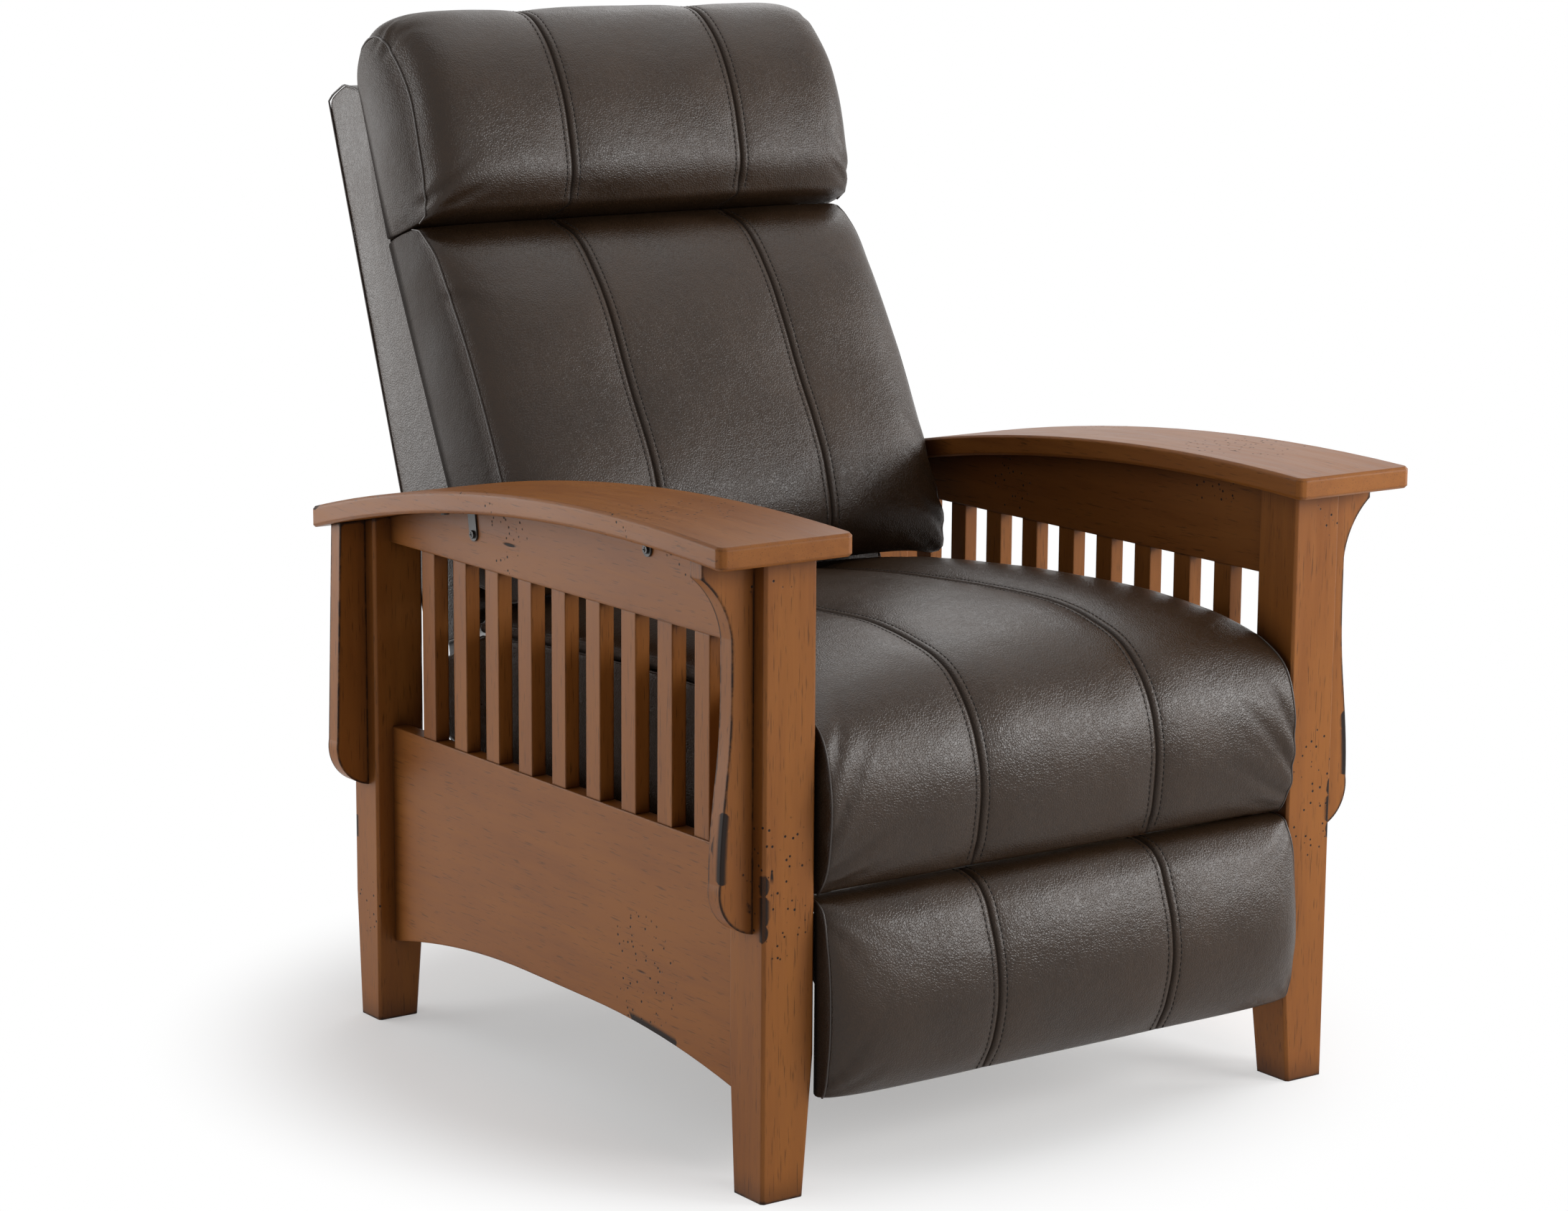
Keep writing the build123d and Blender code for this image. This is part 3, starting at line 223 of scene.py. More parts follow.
def welt_leather(tree, place):
    """The same hide rolled thin over a cord: darker, finely wrinkled, with a wider sheen."""
    wrinkle = put(tree, "ShaderNodeTexNoise", {"Vector": place, "Scale": 1 / 0.002, "Detail": 3.0})
    tone = put(tree, "ShaderNodeMix", {
        "Factor": wrinkle, "A": linear("#1d1510"), "B": linear("#33271f")},
        data_type="RGBA").outputs["Result"]
    relief = put(tree, "ShaderNodeBump", {"Strength": 0.4, "Distance": 0.0002, "Height": wrinkle})
    return put(tree, "ShaderNodeBsdfPrincipled", {
        "Base Color": tone, "Roughness": 0.42, "Normal": relief})


def thread(tree, place):
    """Bonded polyester thread, nearly black and dull; bands about 4 mm apart are its twist."""
    twist = put(tree, "ShaderNodeTexWave", {
        "Vector": place, "Scale": 100.0, "Distortion": 1.5}, bands_direction="DIAGONAL").outputs["Fac"]
    tone = put(tree, "ShaderNodeMix", {
        "Factor": twist, "A": linear("#080605"), "B": linear("#1a1410")},
        data_type="RGBA").outputs["Result"]
    relief = put(tree, "ShaderNodeBump", {"Strength": 0.3, "Distance": 0.0001, "Height": twist})
    return put(tree, "ShaderNodeBsdfPrincipled", {
        "Base Color": tone, "Roughness": 0.75, "Normal": relief, "Specular IOR Level": 0.25})


# Places with worm holes and short dents: width from the middle, depth, height and radius in mm
WORM_PLACES = (
    (330, 229, 165, 62), (327, 0, 262, 34), (340, 0, 583, 26), (350, 732, 124, 34),
    (330, 470, 553, 40), (392, 411, 607, 38), (352, 145, 622, 70), (335, 0, 330, 40),
)
# Places where the finish is rubbed through to black, in the same order
RUBBED_PLACES = (
    (356, 0, 258, 15), (356, 0, 280, 21), (356, 0, 303, 16),
    (330, 186, 108, 19), (330, 212, 117, 24), (330, 238, 124, 19),
    (386, 17, 318, 15), (386, 17, 341, 20), (386, 17, 364, 14),
    (387, 692, 368, 15), (387, 692, 391, 20), (387, 692, 414, 14),
    (392, 755, 560, 16), (355, 745, 205, 17),
)


def near_places(tree, place, places):
    """1 near any of the places on either side of the chair, fading to 0 at its radius."""
    parts = put(tree, "ShaderNodeSeparateXYZ", {"Vector": place}).outputs
    width = put(tree, "ShaderNodeMath", {0: parts["X"]}, operation="ABSOLUTE")
    folded = put(tree, "ShaderNodeCombineXYZ", {"X": width, "Y": parts["Y"], "Z": parts["Z"]})
    total = None
    for x, depth, height, radius in places:
        gap = put(tree, "ShaderNodeVectorMath", {
            0: folded, 1: at(depth, height, x)}, operation="DISTANCE").outputs["Value"]
        here = put(tree, "ShaderNodeMapRange", {
            "Value": gap, "From Min": radius * MM, "From Max": radius * 0.4 * MM})
        if total is None:
            total = here
        else:
            total = put(tree, "ShaderNodeMath", {0: total, 1: here}, operation="MAXIMUM")
    return total


def wear(tree, place, rub):
    """Where the finish is gone: a broken line on the outer edges, and a few rubbed places."""
    # how far the wood goes on behind the surface: less than 1 where an outer edge is near
    inner = put(tree, "ShaderNodeAmbientOcclusion", {"Distance": 0.009}, samples=12, inside=True)
    outer = put(tree, "ShaderNodeAmbientOcclusion", {"Distance": 0.005}, samples=12, inside=True)
    edge = put(tree, "ShaderNodeMapRange", {
        "Value": outer.outputs["AO"], "From Min": 0.78, "From Max": 0.66, "To Max": rub})
    band = put(tree, "ShaderNodeMapRange", {
        "Value": inner.outputs["AO"], "From Min": 0.97, "From Max": 0.84})
    patches = put(tree, "ShaderNodeTexNoise", {
        "Vector": place, "Scale": 1 / 0.022, "Detail": 4.0, "Roughness": 0.65})
    often = put(tree, "ShaderNodeMapRange", {
        "Value": patches, "From Min": 0.36, "From Max": 0.54, "To Min": 0.30, "To Max": 0.95},
        interpolation_type="SMOOTHSTEP")
    line = put(tree, "ShaderNodeMath", {0: edge, 1: often}, operation="MULTIPLY")
    rubbed = near_places(tree, place, RUBBED_PLACES)
    rubbed = put(tree, "ShaderNodeMath", {0: patches, 1: 0.9, 2: rubbed}, operation="MULTIPLY_ADD")
    rubbed = put(tree, "ShaderNodeMapRange", {"Value": rubbed, "From Min": 0.76, "From Max": 0.86})
    rubbed = put(tree, "ShaderNodeMath", {0: rubbed, 1: band}, operation="MULTIPLY")
    return put(tree, "ShaderNodeMath", {0: line, 1: rubbed}, operation="MAXIMUM")


def along_grain(grain, share):
    """Scales of a pattern that runs 1 / share times as long with the grain as across it."""
    scales = [1.0, 1.0, 1.0]
    scales[grain] = share
    return scales


def pits(tree, place, grain):
    """Worm holes up to 3 mm wide, and short dents along the grain in the middle of each spot."""
    spots = near_places(tree, place, WORM_PLACES)
    # holes about 7.5 mm apart, and dents about 13 mm apart across the grain
    hole = put(tree, "ShaderNodeTexVoronoi", {"Vector": place, "Scale": 1 / 0.0075})
    hole = put(tree, "ShaderNodeMapRange", {"Value": hole, "From Min": 0.21, "From Max": 0.14})
    dent = put(tree, "ShaderNodeMapping", {"Vector": place, "Scale": along_grain(grain, 0.16)})
    dent = put(tree, "ShaderNodeTexVoronoi", {"Vector": dent, "Scale": 1 / 0.013})
    dent = put(tree, "ShaderNodeMapRange", {"Value": dent, "From Min": 0.17, "From Max": 0.11})
    middle = put(tree, "ShaderNodeMapRange", {"Value": spots, "From Min": 0.55, "From Max": 0.8})
    dent = put(tree, "ShaderNodeMath", {0: dent, 1: middle}, operation="MULTIPLY")
    inside = put(tree, "ShaderNodeMapRange", {"Value": spots, "From Min": 0.05, "From Max": 0.2})
    hole = put(tree, "ShaderNodeMath", {0: hole, 1: inside}, operation="MULTIPLY")
    return put(tree, "ShaderNodeMath", {0: hole, 1: dent}, operation="MAXIMUM")


def oak(tree, place, grain, rub):
    """Rubberwood and oak, sanded, stained warm brown, glazed dark and lacquered satin, then distressed:
    open pores, edges rubbed black, worm holes and dents; inner corners take painted shade.
    grain is the axis that the fibres run along, and rub how strongly its edges are worn."""
    looks = bpy.context.scene.recliner_oak
    glaze = list(looks.glaze_colour)
    fibres = put(tree, "ShaderNodeMapping", {"Vector": place, "Scale": along_grain(grain, 0.055)})
    broad = put(tree, "ShaderNodeMapping", {"Vector": place, "Scale": along_grain(grain, 0.25)})
    # growth figure, bands about 9 mm wide that wander
    figure = put(tree, "ShaderNodeTexNoise", {
        "Vector": fibres, "Scale": 1 / 0.009, "Detail": 5.0, "Roughness": 0.62, "Distortion": 0.6})
    # stain blotches about 70 mm wide
    blotch = put(tree, "ShaderNodeTexNoise", {
        "Vector": broad, "Scale": 1 / 0.07, "Detail": 3.0, "Roughness": 0.55})
    pore = put(tree, "ShaderNodeTexNoise", {"Vector": fibres, "Scale": 1 / (looks.pore * 1.6)})
    pore = put(tree, "ShaderNodeMapRange", {
        "Value": pore, "From Min": 0.60, "From Max": 0.72}, interpolation_type="SMOOTHSTEP")
    tone = put(tree, "ShaderNodeMath", {0: figure, 1: 0.55}, operation="MULTIPLY")
    tone = put(tree, "ShaderNodeMath", {0: blotch, 1: 0.9, 2: tone}, operation="MULTIPLY_ADD")
    tone = put(tree, "ShaderNodeMapRange", {
        "Value": tone, "From Min": 0.42, "From Max": 0.96}, interpolation_type="SMOOTHSTEP")
    wood = put(tree, "ShaderNodeMix", {
        "Factor": tone, "A": list(looks.dark_colour), "B": list(looks.light_colour)},
        data_type="RGBA").outputs["Result"]
    filled = put(tree, "ShaderNodeMath", {0: pore, 1: 0.48}, operation="MULTIPLY")
    wood = put(tree, "ShaderNodeMix", {
        "Factor": filled, "A": wood, "B": glaze}, data_type="RGBA").outputs["Result"]
    # painted shade: inner corners within 32 mm darkened towards near-black brown, where shade falls
    corner = put(tree, "ShaderNodeAmbientOcclusion", {"Distance": 0.032}, samples=8).outputs["AO"]
    corner = put(tree, "ShaderNodeMapRange", {
        "Value": corner, "From Min": 0.30, "From Max": 0.95, "To Min": 0.8, "To Max": 0.0})
    wood = put(tree, "ShaderNodeMix", {
        "Factor": corner, "A": wood, "B": linear("#260e06")}, data_type="RGBA").outputs["Result"]
    # eased edges 2.6 mm round
    eased = put(tree, "ShaderNodeBevel", {"Radius": 0.0026}, samples=6)
    worn = wear(tree, place, rub)
    pit = pits(tree, place, grain)
    black = put(tree, "ShaderNodeMath", {0: worn, 1: pit}, operation="MAXIMUM", use_clamp=True)
    colour = put(tree, "ShaderNodeMix", {
        "Factor": black, "A": wood, "B": glaze}, data_type="RGBA").outputs["Result"]
    height = put(tree, "ShaderNodeMath", {0: pore, 1: -0.35}, operation="MULTIPLY")
    height = put(tree, "ShaderNodeMath", {0: pit, 1: -2.2, 2: height}, operation="MULTIPLY_ADD")
    height = put(tree, "ShaderNodeMath", {0: figure, 1: 0.35, 2: height}, operation="MULTIPLY_ADD")
    relief = put(tree, "ShaderNodeBump", {
        "Strength": 0.35, "Distance": 0.0003, "Height": height, "Normal": eased})
    rough = put(tree, "ShaderNodeMapRange", {
        "Value": figure, "From Min": 0.3, "From Max": 0.7, "To Min": 0.34, "To Max": 0.44})
    rough = put(tree, "ShaderNodeMath", {0: black, 1: 0.25, 2: rough}, operation="MULTIPLY_ADD")
    return put(tree, "ShaderNodeBsdfPrincipled", {
        "Base Color": colour, "Roughness": rough, "Normal": relief, "Specular IOR Level": 0.19})


def stained_oak(grain, rub):
    """The oak of that grain and wear; crisp oak has less worn edges."""
    name = "stained_oak_" + "xyz"[grain] + ("" if rub == 1.0 else "_crisp")
    return material(name, oak, grain, rub)


def pine(tree, place):
    """Planed pine of the hidden frames: pale, raw and matt, with orange growth lines."""
    boards = put(tree, "ShaderNodeMapping", {"Vector": place, "Scale": along_grain(1, 0.07)})
    growth = put(tree, "ShaderNodeTexNoise", {
        "Vector": boards, "Scale": 1 / 0.006, "Detail": 4.0, "Distortion": 0.8})
    tone = put(tree, "ShaderNodeMix", {
        "Factor": growth, "A": linear("#8f6a3c"), "B": linear("#c9a46c")},
        data_type="RGBA").outputs["Result"]
    relief = put(tree, "ShaderNodeBump", {"Strength": 0.3, "Distance": 0.0003, "Height": growth})
    return put(tree, "ShaderNodeBsdfPrincipled", {
        "Base Color": tone, "Roughness": 0.72, "Normal": relief})


def painted_steel(tree, place):
    """Pressed steel under black enamel: low orange-peel, bare grey where edges rub."""
    peel = put(tree, "ShaderNodeTexNoise", {"Vector": place, "Scale": 1 / 0.0016})
    dust = put(tree, "ShaderNodeTexNoise", {"Vector": place, "Scale": 1 / 0.03, "Detail": 5.0})
    eased = put(tree, "ShaderNodeBevel", {"Radius": 0.0006}, samples=4)
    face = put(tree, "ShaderNodeNewGeometry").outputs["Normal"]
    same = put(tree, "ShaderNodeVectorMath", {0: eased, 1: face}, operation="DOT_PRODUCT")
    edge = put(tree, "ShaderNodeMapRange", {
        "Value": same.outputs["Value"], "From Min": 0.99, "From Max": 0.9, "To Max": 0.5})
    paint = put(tree, "ShaderNodeMix", {
        "Factor": dust, "A": linear("#131211"), "B": linear("#2a2826")},
        data_type="RGBA").outputs["Result"]
    tone = put(tree, "ShaderNodeMix", {
        "Factor": edge, "A": paint, "B": linear("#6d6a66")}, data_type="RGBA").outputs["Result"]
    relief = put(tree, "ShaderNodeBump", {
        "Strength": 0.3, "Distance": 0.0002, "Height": peel, "Normal": eased})
    return put(tree, "ShaderNodeBsdfPrincipled", {
        "Base Color": tone, "Roughness": 0.42, "Normal": relief})


def zinc(tree, place):
    """Zinc-plated steel of the bolt heads: blue-grey metal with a soft spangle."""
    spangle = put(tree, "ShaderNodeTexNoise", {"Vector": place, "Scale": 1 / 0.003, "Detail": 3.0})
    tone = put(tree, "ShaderNodeMix", {
        "Factor": spangle, "A": linear("#8d9297"), "B": linear("#c4c8cc")},
        data_type="RGBA").outputs["Result"]
    rough = put(tree, "ShaderNodeMapRange", {"Value": spangle, "To Min": 0.28, "To Max": 0.45})
    relief = put(tree, "ShaderNodeBump", {"Strength": 0.2, "Distance": 0.0001, "Height": spangle})
    return put(tree, "ShaderNodeBsdfPrincipled", {
        "Base Color": tone, "Roughness": rough, "Normal": relief, "Metallic": 1.0})


def sweep_white(tree, place):
    """The studio floor: white card near the chair, which takes its shadow, and pure white
    where it runs out into the background."""
    far = put(tree, "ShaderNodeVectorMath", {0: place}, operation="LENGTH").outputs["Value"]
    fade = put(tree, "ShaderNodeMapRange", {
        "Value": far, "From Min": 0.42, "From Max": 0.69, "To Min": 0.36, "To Max": 1.0},
        interpolation_type="SMOOTHSTEP")
    fade = put(tree, "ShaderNodeMath", {0: fade, 1: looked_at(tree)}, operation="MULTIPLY")
    card = put(tree, "ShaderNodeBsdfDiffuse", {"Color": linear("#fbfbfb")})
    white = put(tree, "ShaderNodeEmission", {"Color": linear("#ffffff"), "Strength": 1.0})
    return put(tree, "ShaderNodeMixShader", {0: fade, 1: card, 2: white})


def looked_at(tree):
    """1 for a ray of the camera, a reflection or a clear piece, and 0 for scattered light."""
    rays = put(tree, "ShaderNodeLightPath").outputs
    seen = put(tree, "ShaderNodeMath", {
        0: rays["Is Camera Ray"], 1: rays["Is Glossy Ray"]}, operation="MAXIMUM")
    return put(tree, "ShaderNodeMath", {0: seen, 1: rays["Is Transmission Ray"]}, operation="MAXIMUM")


def dress(starts, finish):
    """Gives its finish to each CAD node whose name starts that way."""
    for name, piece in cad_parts.items():
        if not name.startswith(starts):
            continue
        if not piece.material_slots:
            piece.data.materials.append(finish)
        for slot in piece.material_slots:
            slot.material = finish


# Meshes and pieces


def mend(mesh, merge=None, fill=False):
    """Merges points that lie that close, fills holes if asked, and turns each face outwards."""
    shell = bmesh.new()
    shell.from_mesh(mesh)
    if merge:
        bmesh.ops.remove_doubles(shell, verts=shell.verts, dist=merge)
    if fill:
        bmesh.ops.holes_fill(shell, edges=[e for e in shell.edges if e.is_boundary], sides=0)
    bmesh.ops.recalc_face_normals(shell, faces=shell.faces)
    shell.to_mesh(mesh)
    shell.free()


def show(name, mesh):
    """A piece of that mesh, in the scene."""
    piece = bpy.data.objects.new(name, mesh)
    bpy.context.collection.objects.link(piece)
    return piece


def smooth(mesh):
    """Shades all its faces smooth."""
    mesh.polygons.foreach_set("use_smooth", [True] * len(mesh.polygons))


def settle(piece):
    """Turns what a piece's modifiers make into its plain mesh."""
    bpy.context.view_layer.update()
    graph = bpy.context.evaluated_depsgraph_get()
    mesh = bpy.data.meshes.new_from_object(
        piece.evaluated_get(graph), preserve_all_data_layers=True, depsgraph=graph)
    piece.modifiers.clear()
    old = piece.data
    piece.data = mesh
    bpy.data.meshes.remove(old)
    mesh.name = piece.name
    return piece


def subdivide(piece, rounds):
    """Rounds of subdivision, applied; the first vertices keep their numbers."""
    finer = piece.modifiers.new("finer", "SUBSURF")
    finer.levels = finer.render_levels = rounds
    settle(piece)
    smooth(piece.data)


# Lines


def way_along(line):
    """The length of a line up to each of its points."""
    return np.r_[0, np.cumsum(np.linalg.norm(np.diff(line, axis=0), axis=1))]


def even(line, count):
    """A line of points cut into equal steps."""
    line = np.array(line, float)
    way = way_along(line)
    wanted = np.linspace(0, way[-1], count)
    return np.stack([np.interp(wanted, way, line[:, k]) for k in range(line.shape[1])], 1)


def rounded(points, count):
    """A smooth open line through the points, cut into equal steps."""
    p = np.array(points, float)
    h = np.linalg.norm(np.diff(p, axis=0), axis=1)[:, None]
    run = np.diff(p, axis=0) / h
    lean = np.vstack([run[:1], (h[1:] * run[:-1] + h[:-1] * run[1:]) / (h[1:] + h[:-1]), run[-1:]])
    fine = []
    for i in range(len(p) - 1):
        for t in np.linspace(0, 1, 20, endpoint=False):
            fine.append(
                (2 * t**3 - 3 * t**2 + 1) * p[i] + (t**3 - 2 * t**2 + t) * h[i] * lean[i]
                + (3 * t**2 - 2 * t**3) * p[i + 1] + (t**3 - t**2) * h[i] * lean[i + 1])
    return even(fine + [p[-1]], count)


# Thread and welts by geometry nodes


def new_rule(name, step, width):
    """A geometry tree that cuts lines into steps. It takes the lines, two named lengths and a
    finish. Returns the tree, the identifiers of its inputs, its input node and the cut lines."""
    tree = bpy.data.node_groups.new(name, "GeometryNodeTree")
    tree.interface.new_socket("Geometry", in_out="INPUT", socket_type="NodeSocketGeometry")
    kinds = {step: "NodeSocketFloat", width: "NodeSocketFloat", "Finish": "NodeSocketMaterial"}
    names = {}
    for label, kind in kinds.items():
        names[label] = tree.interface.new_socket(label, in_out="INPUT", socket_type=kind).identifier
    tree.interface.new_socket("Geometry", in_out="OUTPUT", socket_type="NodeSocketGeometry")
    given = put(tree, "NodeGroupInput")
    curve = put(tree, "GeometryNodeMeshToCurve", {"Mesh": given.outputs["Geometry"]})
    steps = put(tree, "GeometryNodeResampleCurve", {
        "Curve": curve, "Length": given.outputs[step]}, mode="LENGTH")
    return tree, names, given, steps


def end_rule(tree, given, geometry):
    """Gives what a tree makes its finish and hands it out."""
    done = put(tree, "GeometryNodeSetMaterial", {
        "Geometry": geometry, "Material": given.outputs["Finish"]})
    put(tree, "NodeGroupOutput", {"Geometry": done})


def stitch_rule():
    """Lays a bead of thread at every step along a row, its flat side on the hide."""
    tree, names, given, steps = new_rule("stitch_row", "Pitch", "Thread")
    up = put(tree, "GeometryNodeInputNamedAttribute", {"Name": "up"}, data_type="FLOAT_VECTOR")
    run = put(tree, "GeometryNodeInputTangent")
    stand = put(tree, "FunctionNodeAlignRotationToVector", {"Vector": up}, axis="Z")
    turn = put(tree, "FunctionNodeAlignRotationToVector", {
        "Rotation": stand, "Vector": run}, axis="X", pivot_axis="Z")
    bead = put(tree, "GeometryNodeMeshUVSphere", {"Segments": 6, "Rings": 5, "Radius": 1.0})
    # a bead is 0.8 of a step long
    reach = put(tree, "ShaderNodeMath", {0: given.outputs["Pitch"], 1: 0.40}, operation="MULTIPLY")
    thick = put(tree, "ShaderNodeMath", {0: given.outputs["Thread"], 1: 0.5}, operation="MULTIPLY")
    size = put(tree, "ShaderNodeCombineXYZ", {"X": reach, "Y": thick, "Z": thick})
    shaped = put(tree, "GeometryNodeTransform", {"Geometry": bead, "Scale": size})
    laid = put(tree, "GeometryNodeInstanceOnPoints", {
        "Points": steps, "Instance": shaped, "Rotation": turn})
    real = put(tree, "GeometryNodeRealizeInstances", {"Geometry": laid})
    shaded = put(tree, "GeometryNodeSetShadeSmooth", {"Geometry": real})
    end_rule(tree, given, shaded)
    return tree, names


def welt_rule():
    """Sews a round welt along a seam."""
    tree, names, given, steps = new_rule("welt", "Step", "Radius")
    section = put(tree, "GeometryNodeCurvePrimitiveCircle", {
        "Resolution": 8, "Radius": given.outputs["Radius"]})
    tube = put(tree, "GeometryNodeCurveToMesh", {
        "Curve": steps, "Profile Curve": section, "Fill Caps": True})
    shaded = put(tree, "GeometryNodeSetShadeSmooth", {"Geometry": tube})
    real = put(tree, "GeometryNodeRealizeInstances", {"Geometry": shaded})
    end_rule(tree, given, real)
    return tree, names


def line_piece(name, lines, ups=None):
    """A mesh of open lines, with the way up at each of their points."""
    points, edges, way_up = [], [], []
    for number, line in enumerate(lines):
        start = len(points)
        points += [tuple(p) for p in line]
        edges += [(start + i, start + i + 1) for i in range(len(line) - 1)]
        way_up += [tuple(u) for u in ups[number]] if ups else [(0, 0, 1)] * len(line)
    mesh = bpy.data.meshes.new(name)
    mesh.from_pydata(points, edges, [])
    mark = mesh.attributes.new("up", "FLOAT_VECTOR", "POINT")
    mark.data.foreach_set("vector", np.array(way_up, np.float32).ravel())
    return show(name, mesh)


def run_rule(piece, rule, values):
    """Runs a geometry tree on a piece and keeps its result as a plain mesh."""
    tree, names = rule
    step = piece.modifiers.new("rule", "NODES")
    step.node_group = tree
    for label, value in values.items():
        step[names[label]] = value
    return settle(piece)


def stitch(name, cushion, columns, body):
    """Rows of thread that follow columns of a cushion's cover."""
    sewing = bpy.context.scene.recliner_sewing
    spots = cushion.data.vertices
    lines = [[spots[n].co.copy() for n in column] for column in columns]
    ups = [[spots[n].normal for n in column] for column in columns]
    piece = line_piece(name, lines, ups)
    run_rule(piece, stitch_rule(), {
        "Pitch": sewing.pitch, "Thread": sewing.thread, "Finish": material("bonded_thread", thread)})
    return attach(piece, body)


def welt(name, lines, step, body):
    """Welts along lines of places."""
    piece = line_piece(name, lines)
    radius = bpy.context.scene.recliner_sewing.welt
    run_rule(piece, welt_rule(), {
        "Step": step, "Radius": radius, "Finish": material("welt_leather", welt_leather)})
    mend(piece.data, merge=1e-7)
    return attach(piece, body)


# Cushions

# The seams of each cushion, as places across it, the length of a step along a welt, and how
# many frames the filling swells for
SEAMS = (-108.0, 108.0)
CUSHION_WELT_STEP = 4 * MM
BOARD_WELT_STEP = 5 * MM
CLOTH_FRAMES = 20
# How far a cushion's welt stands off the hide, how near to a line a row counts as on it, and the
# stretch at either end of a section that stays where it is tucked in
WELT_STAND = 0.4 * MM
ON_LINE = 0.01
TUCKED = 20.0

# Close rows by the sides, where folds run into the gussets
BY_SIDES = (-254, -248, -241, -234, -226, -218, 218, 226, 234, 241, 248, 254)

# The form of a cushion, in millimetres, and what its entries mean:
# nodes, body: the CAD pieces that it stands for, and the body that carries it
# place: makes a place from two numbers of a section and one across
# half, step, extra: half its width, the widest step from row to row, and rows besides
# count: how many points its shown and its hidden section are cut into
# crown, edge: the shown section at its middle and at its sides
# hidden: the section that the frame hides; hidden_side: the same further out than hidden_from
# square: how squarely it is filled out across; fill: how full it is; seed: start of its noise
# valley, wave: depth of the hollow along a seam, and of slow waves all over
# bulge, panel_rows, side_shade: swell of the side panels, their rows, and how much painted shade they
# take
# held_start, held_end: points at either end of a section that the filling doesn't move
# most: most that the filling moves a point; row_inset: points before a stitch row starts
# folds: place across and way along the section at both ends, then width and depth
COMMON = {
    "extra": (), "square": 6, "hidden_from": inf, "panel_rows": 8, "side_shade": 0.4,
    "held_start": 2, "held_end": 2, "row_inset": 2,
}

SEAT_FORM = COMMON | {
    "nodes": ("seat_cushion",), "body": "seat", "place": at,
    "half": 285.0, "count": 112, "step": 10.0,
    "crown": ((598, 462), (490, 477), (380, 489), (265, 496), (155, 499), (100, 492),
              (37, 471), (3, 433), (-15, 383), (-15, 334), (-9, 304), (4, 284.5)),
    "edge": ((598, 441), (490, 449), (383, 455), (265, 461), (155, 463), (100, 464),
             (37, 456), (2, 434), (-15, 383), (-14, 334), (-8, 305), (5, 284.5)),
    "hidden": ((598, 375), (41, 375), (41, 284.5)), "held_end": 5,
    "hidden_side": ((598, 431), (300, 449), (18, 446), (18, 284.5)),
    "hidden_from": 268.5, "extra": (-269.5, -268, -261, *BY_SIDES, 261, 268, 269.5),
    "seed": 3.0, "fill": 0.75, "valley": 3.4, "wave": 1.2,
    "bulge": 3.0, "panel_rows": 4, "side_shade": 0.2,
    "folds": (
        (285, 752, 190, 700, 11, 3.0), (285, 722, 212, 640, 9, 2.8),
        (285, 690, 240, 600, 9, 2.2), (285, 766, 206, 742, 9, 2.4),
        (-285, 752, -205, 705, 10, 3.0), (-285, 715, -226, 612, 9, 3.0),
        (-285, 660, -240, 570, 9, 2.4), (-285, 766, -206, 744, 9, 2.6),
        (285, 560, 236, 470, 12, 1.6), (-285, 545, -238, 465, 12, 1.5),
        (120, 40, 240, 92, 16, 1.6), (-118, 30, -235, 84, 16, 1.6), (-60, 24, 64, 40, 16, 1.2),
    ),
}

BACK_FORM = COMMON | {
    "nodes": ("lower_back_cushion",), "body": "back", "place": on_back,
    "half": 270.0, "count": 76, "step": 10.0, "extra": BY_SIDES,
    "crown": ((56, 112), (36, 162), (20, 212), (45, 247), (103, 258), (225, 242), (343, 220),
              (398, 193), (426, 150)),
    "edge": ((56, 112), (32, 162), (12, 212), (46, 228), (103, 222), (233, 207), (343, 184),
             (388, 171), (426, 145)),
    "hidden": ((57, 110), (150, 107), (426, 78)),
    "seed": 11.0, "fill": 0.7, "valley": 1.8, "wave": 1.0, "bulge": 11.0, "side_shade": 0.5,
    "folds": (
        (270, 140, 206, 196, 9, 4.0), (270, 176, 212, 248, 9, 3.4), (270, 108, 214, 140, 9, 3.6),
        (268, 222, 226, 300, 9, 2.2), (-270, 150, -216, 206, 9, 3.2), (-270, 190, -214, 246, 9, 2.6),
        (270, 560, 222, 516, 8, 2.2), (-270, 556, -220, 512, 8, 2.2), (-270, 470, -236, 430, 9, 1.2),
    ),
}

HEADREST_FORM = COMMON | {
    "nodes": ("headrest_pillow",), "body": "back", "place": on_back,
    "half": 270.0, "count": 52, "step": 9.0, "extra": BY_SIDES,
    "crown": ((427, 190), (456, 212), (495, 220), (551, 221.5), (606, 209), (641, 184),
              (656, 148), (655, 120), (634, 99)),
    "edge": ((427, 165), (460, 174), (495, 178), (552, 180), (606, 161), (624, 150),
             (634, 135), (636, 116), (630, 97)),
    "hidden": ((427, 78), (590, 78), (600, 84)),
    "seed": 23.0, "fill": 0.85, "square": 13,
    "valley": 2.2, "wave": 1.1, "bulge": 13.0, "side_shade": 0.3,
    "folds": (
        (272, 262, 250, 258, 9, -5.0), (-272, 262, -250, 258, 9, -5.0),
        (270, 246, 232, 214, 7, 3.0), (270, 276, 222, 262, 7, 2.6), (270, 300, 236, 292, 6, 2.2),
        (270, 4, 226, 38, 8, 4.2), (270, 22, 212, 76, 8, 3.2), (264, 0, 238, 14, 7, 2.8),
        (-270, 2, -212, 32, 8, 4.2), (-270, 26, -220, 74, 8, 3.0), (-238, 0, -186, 20, 7, 2.4),
        (-270, 244, -230, 216, 7, 3.0), (-270, 268, -226, 252, 7, 2.4),
    ),
}

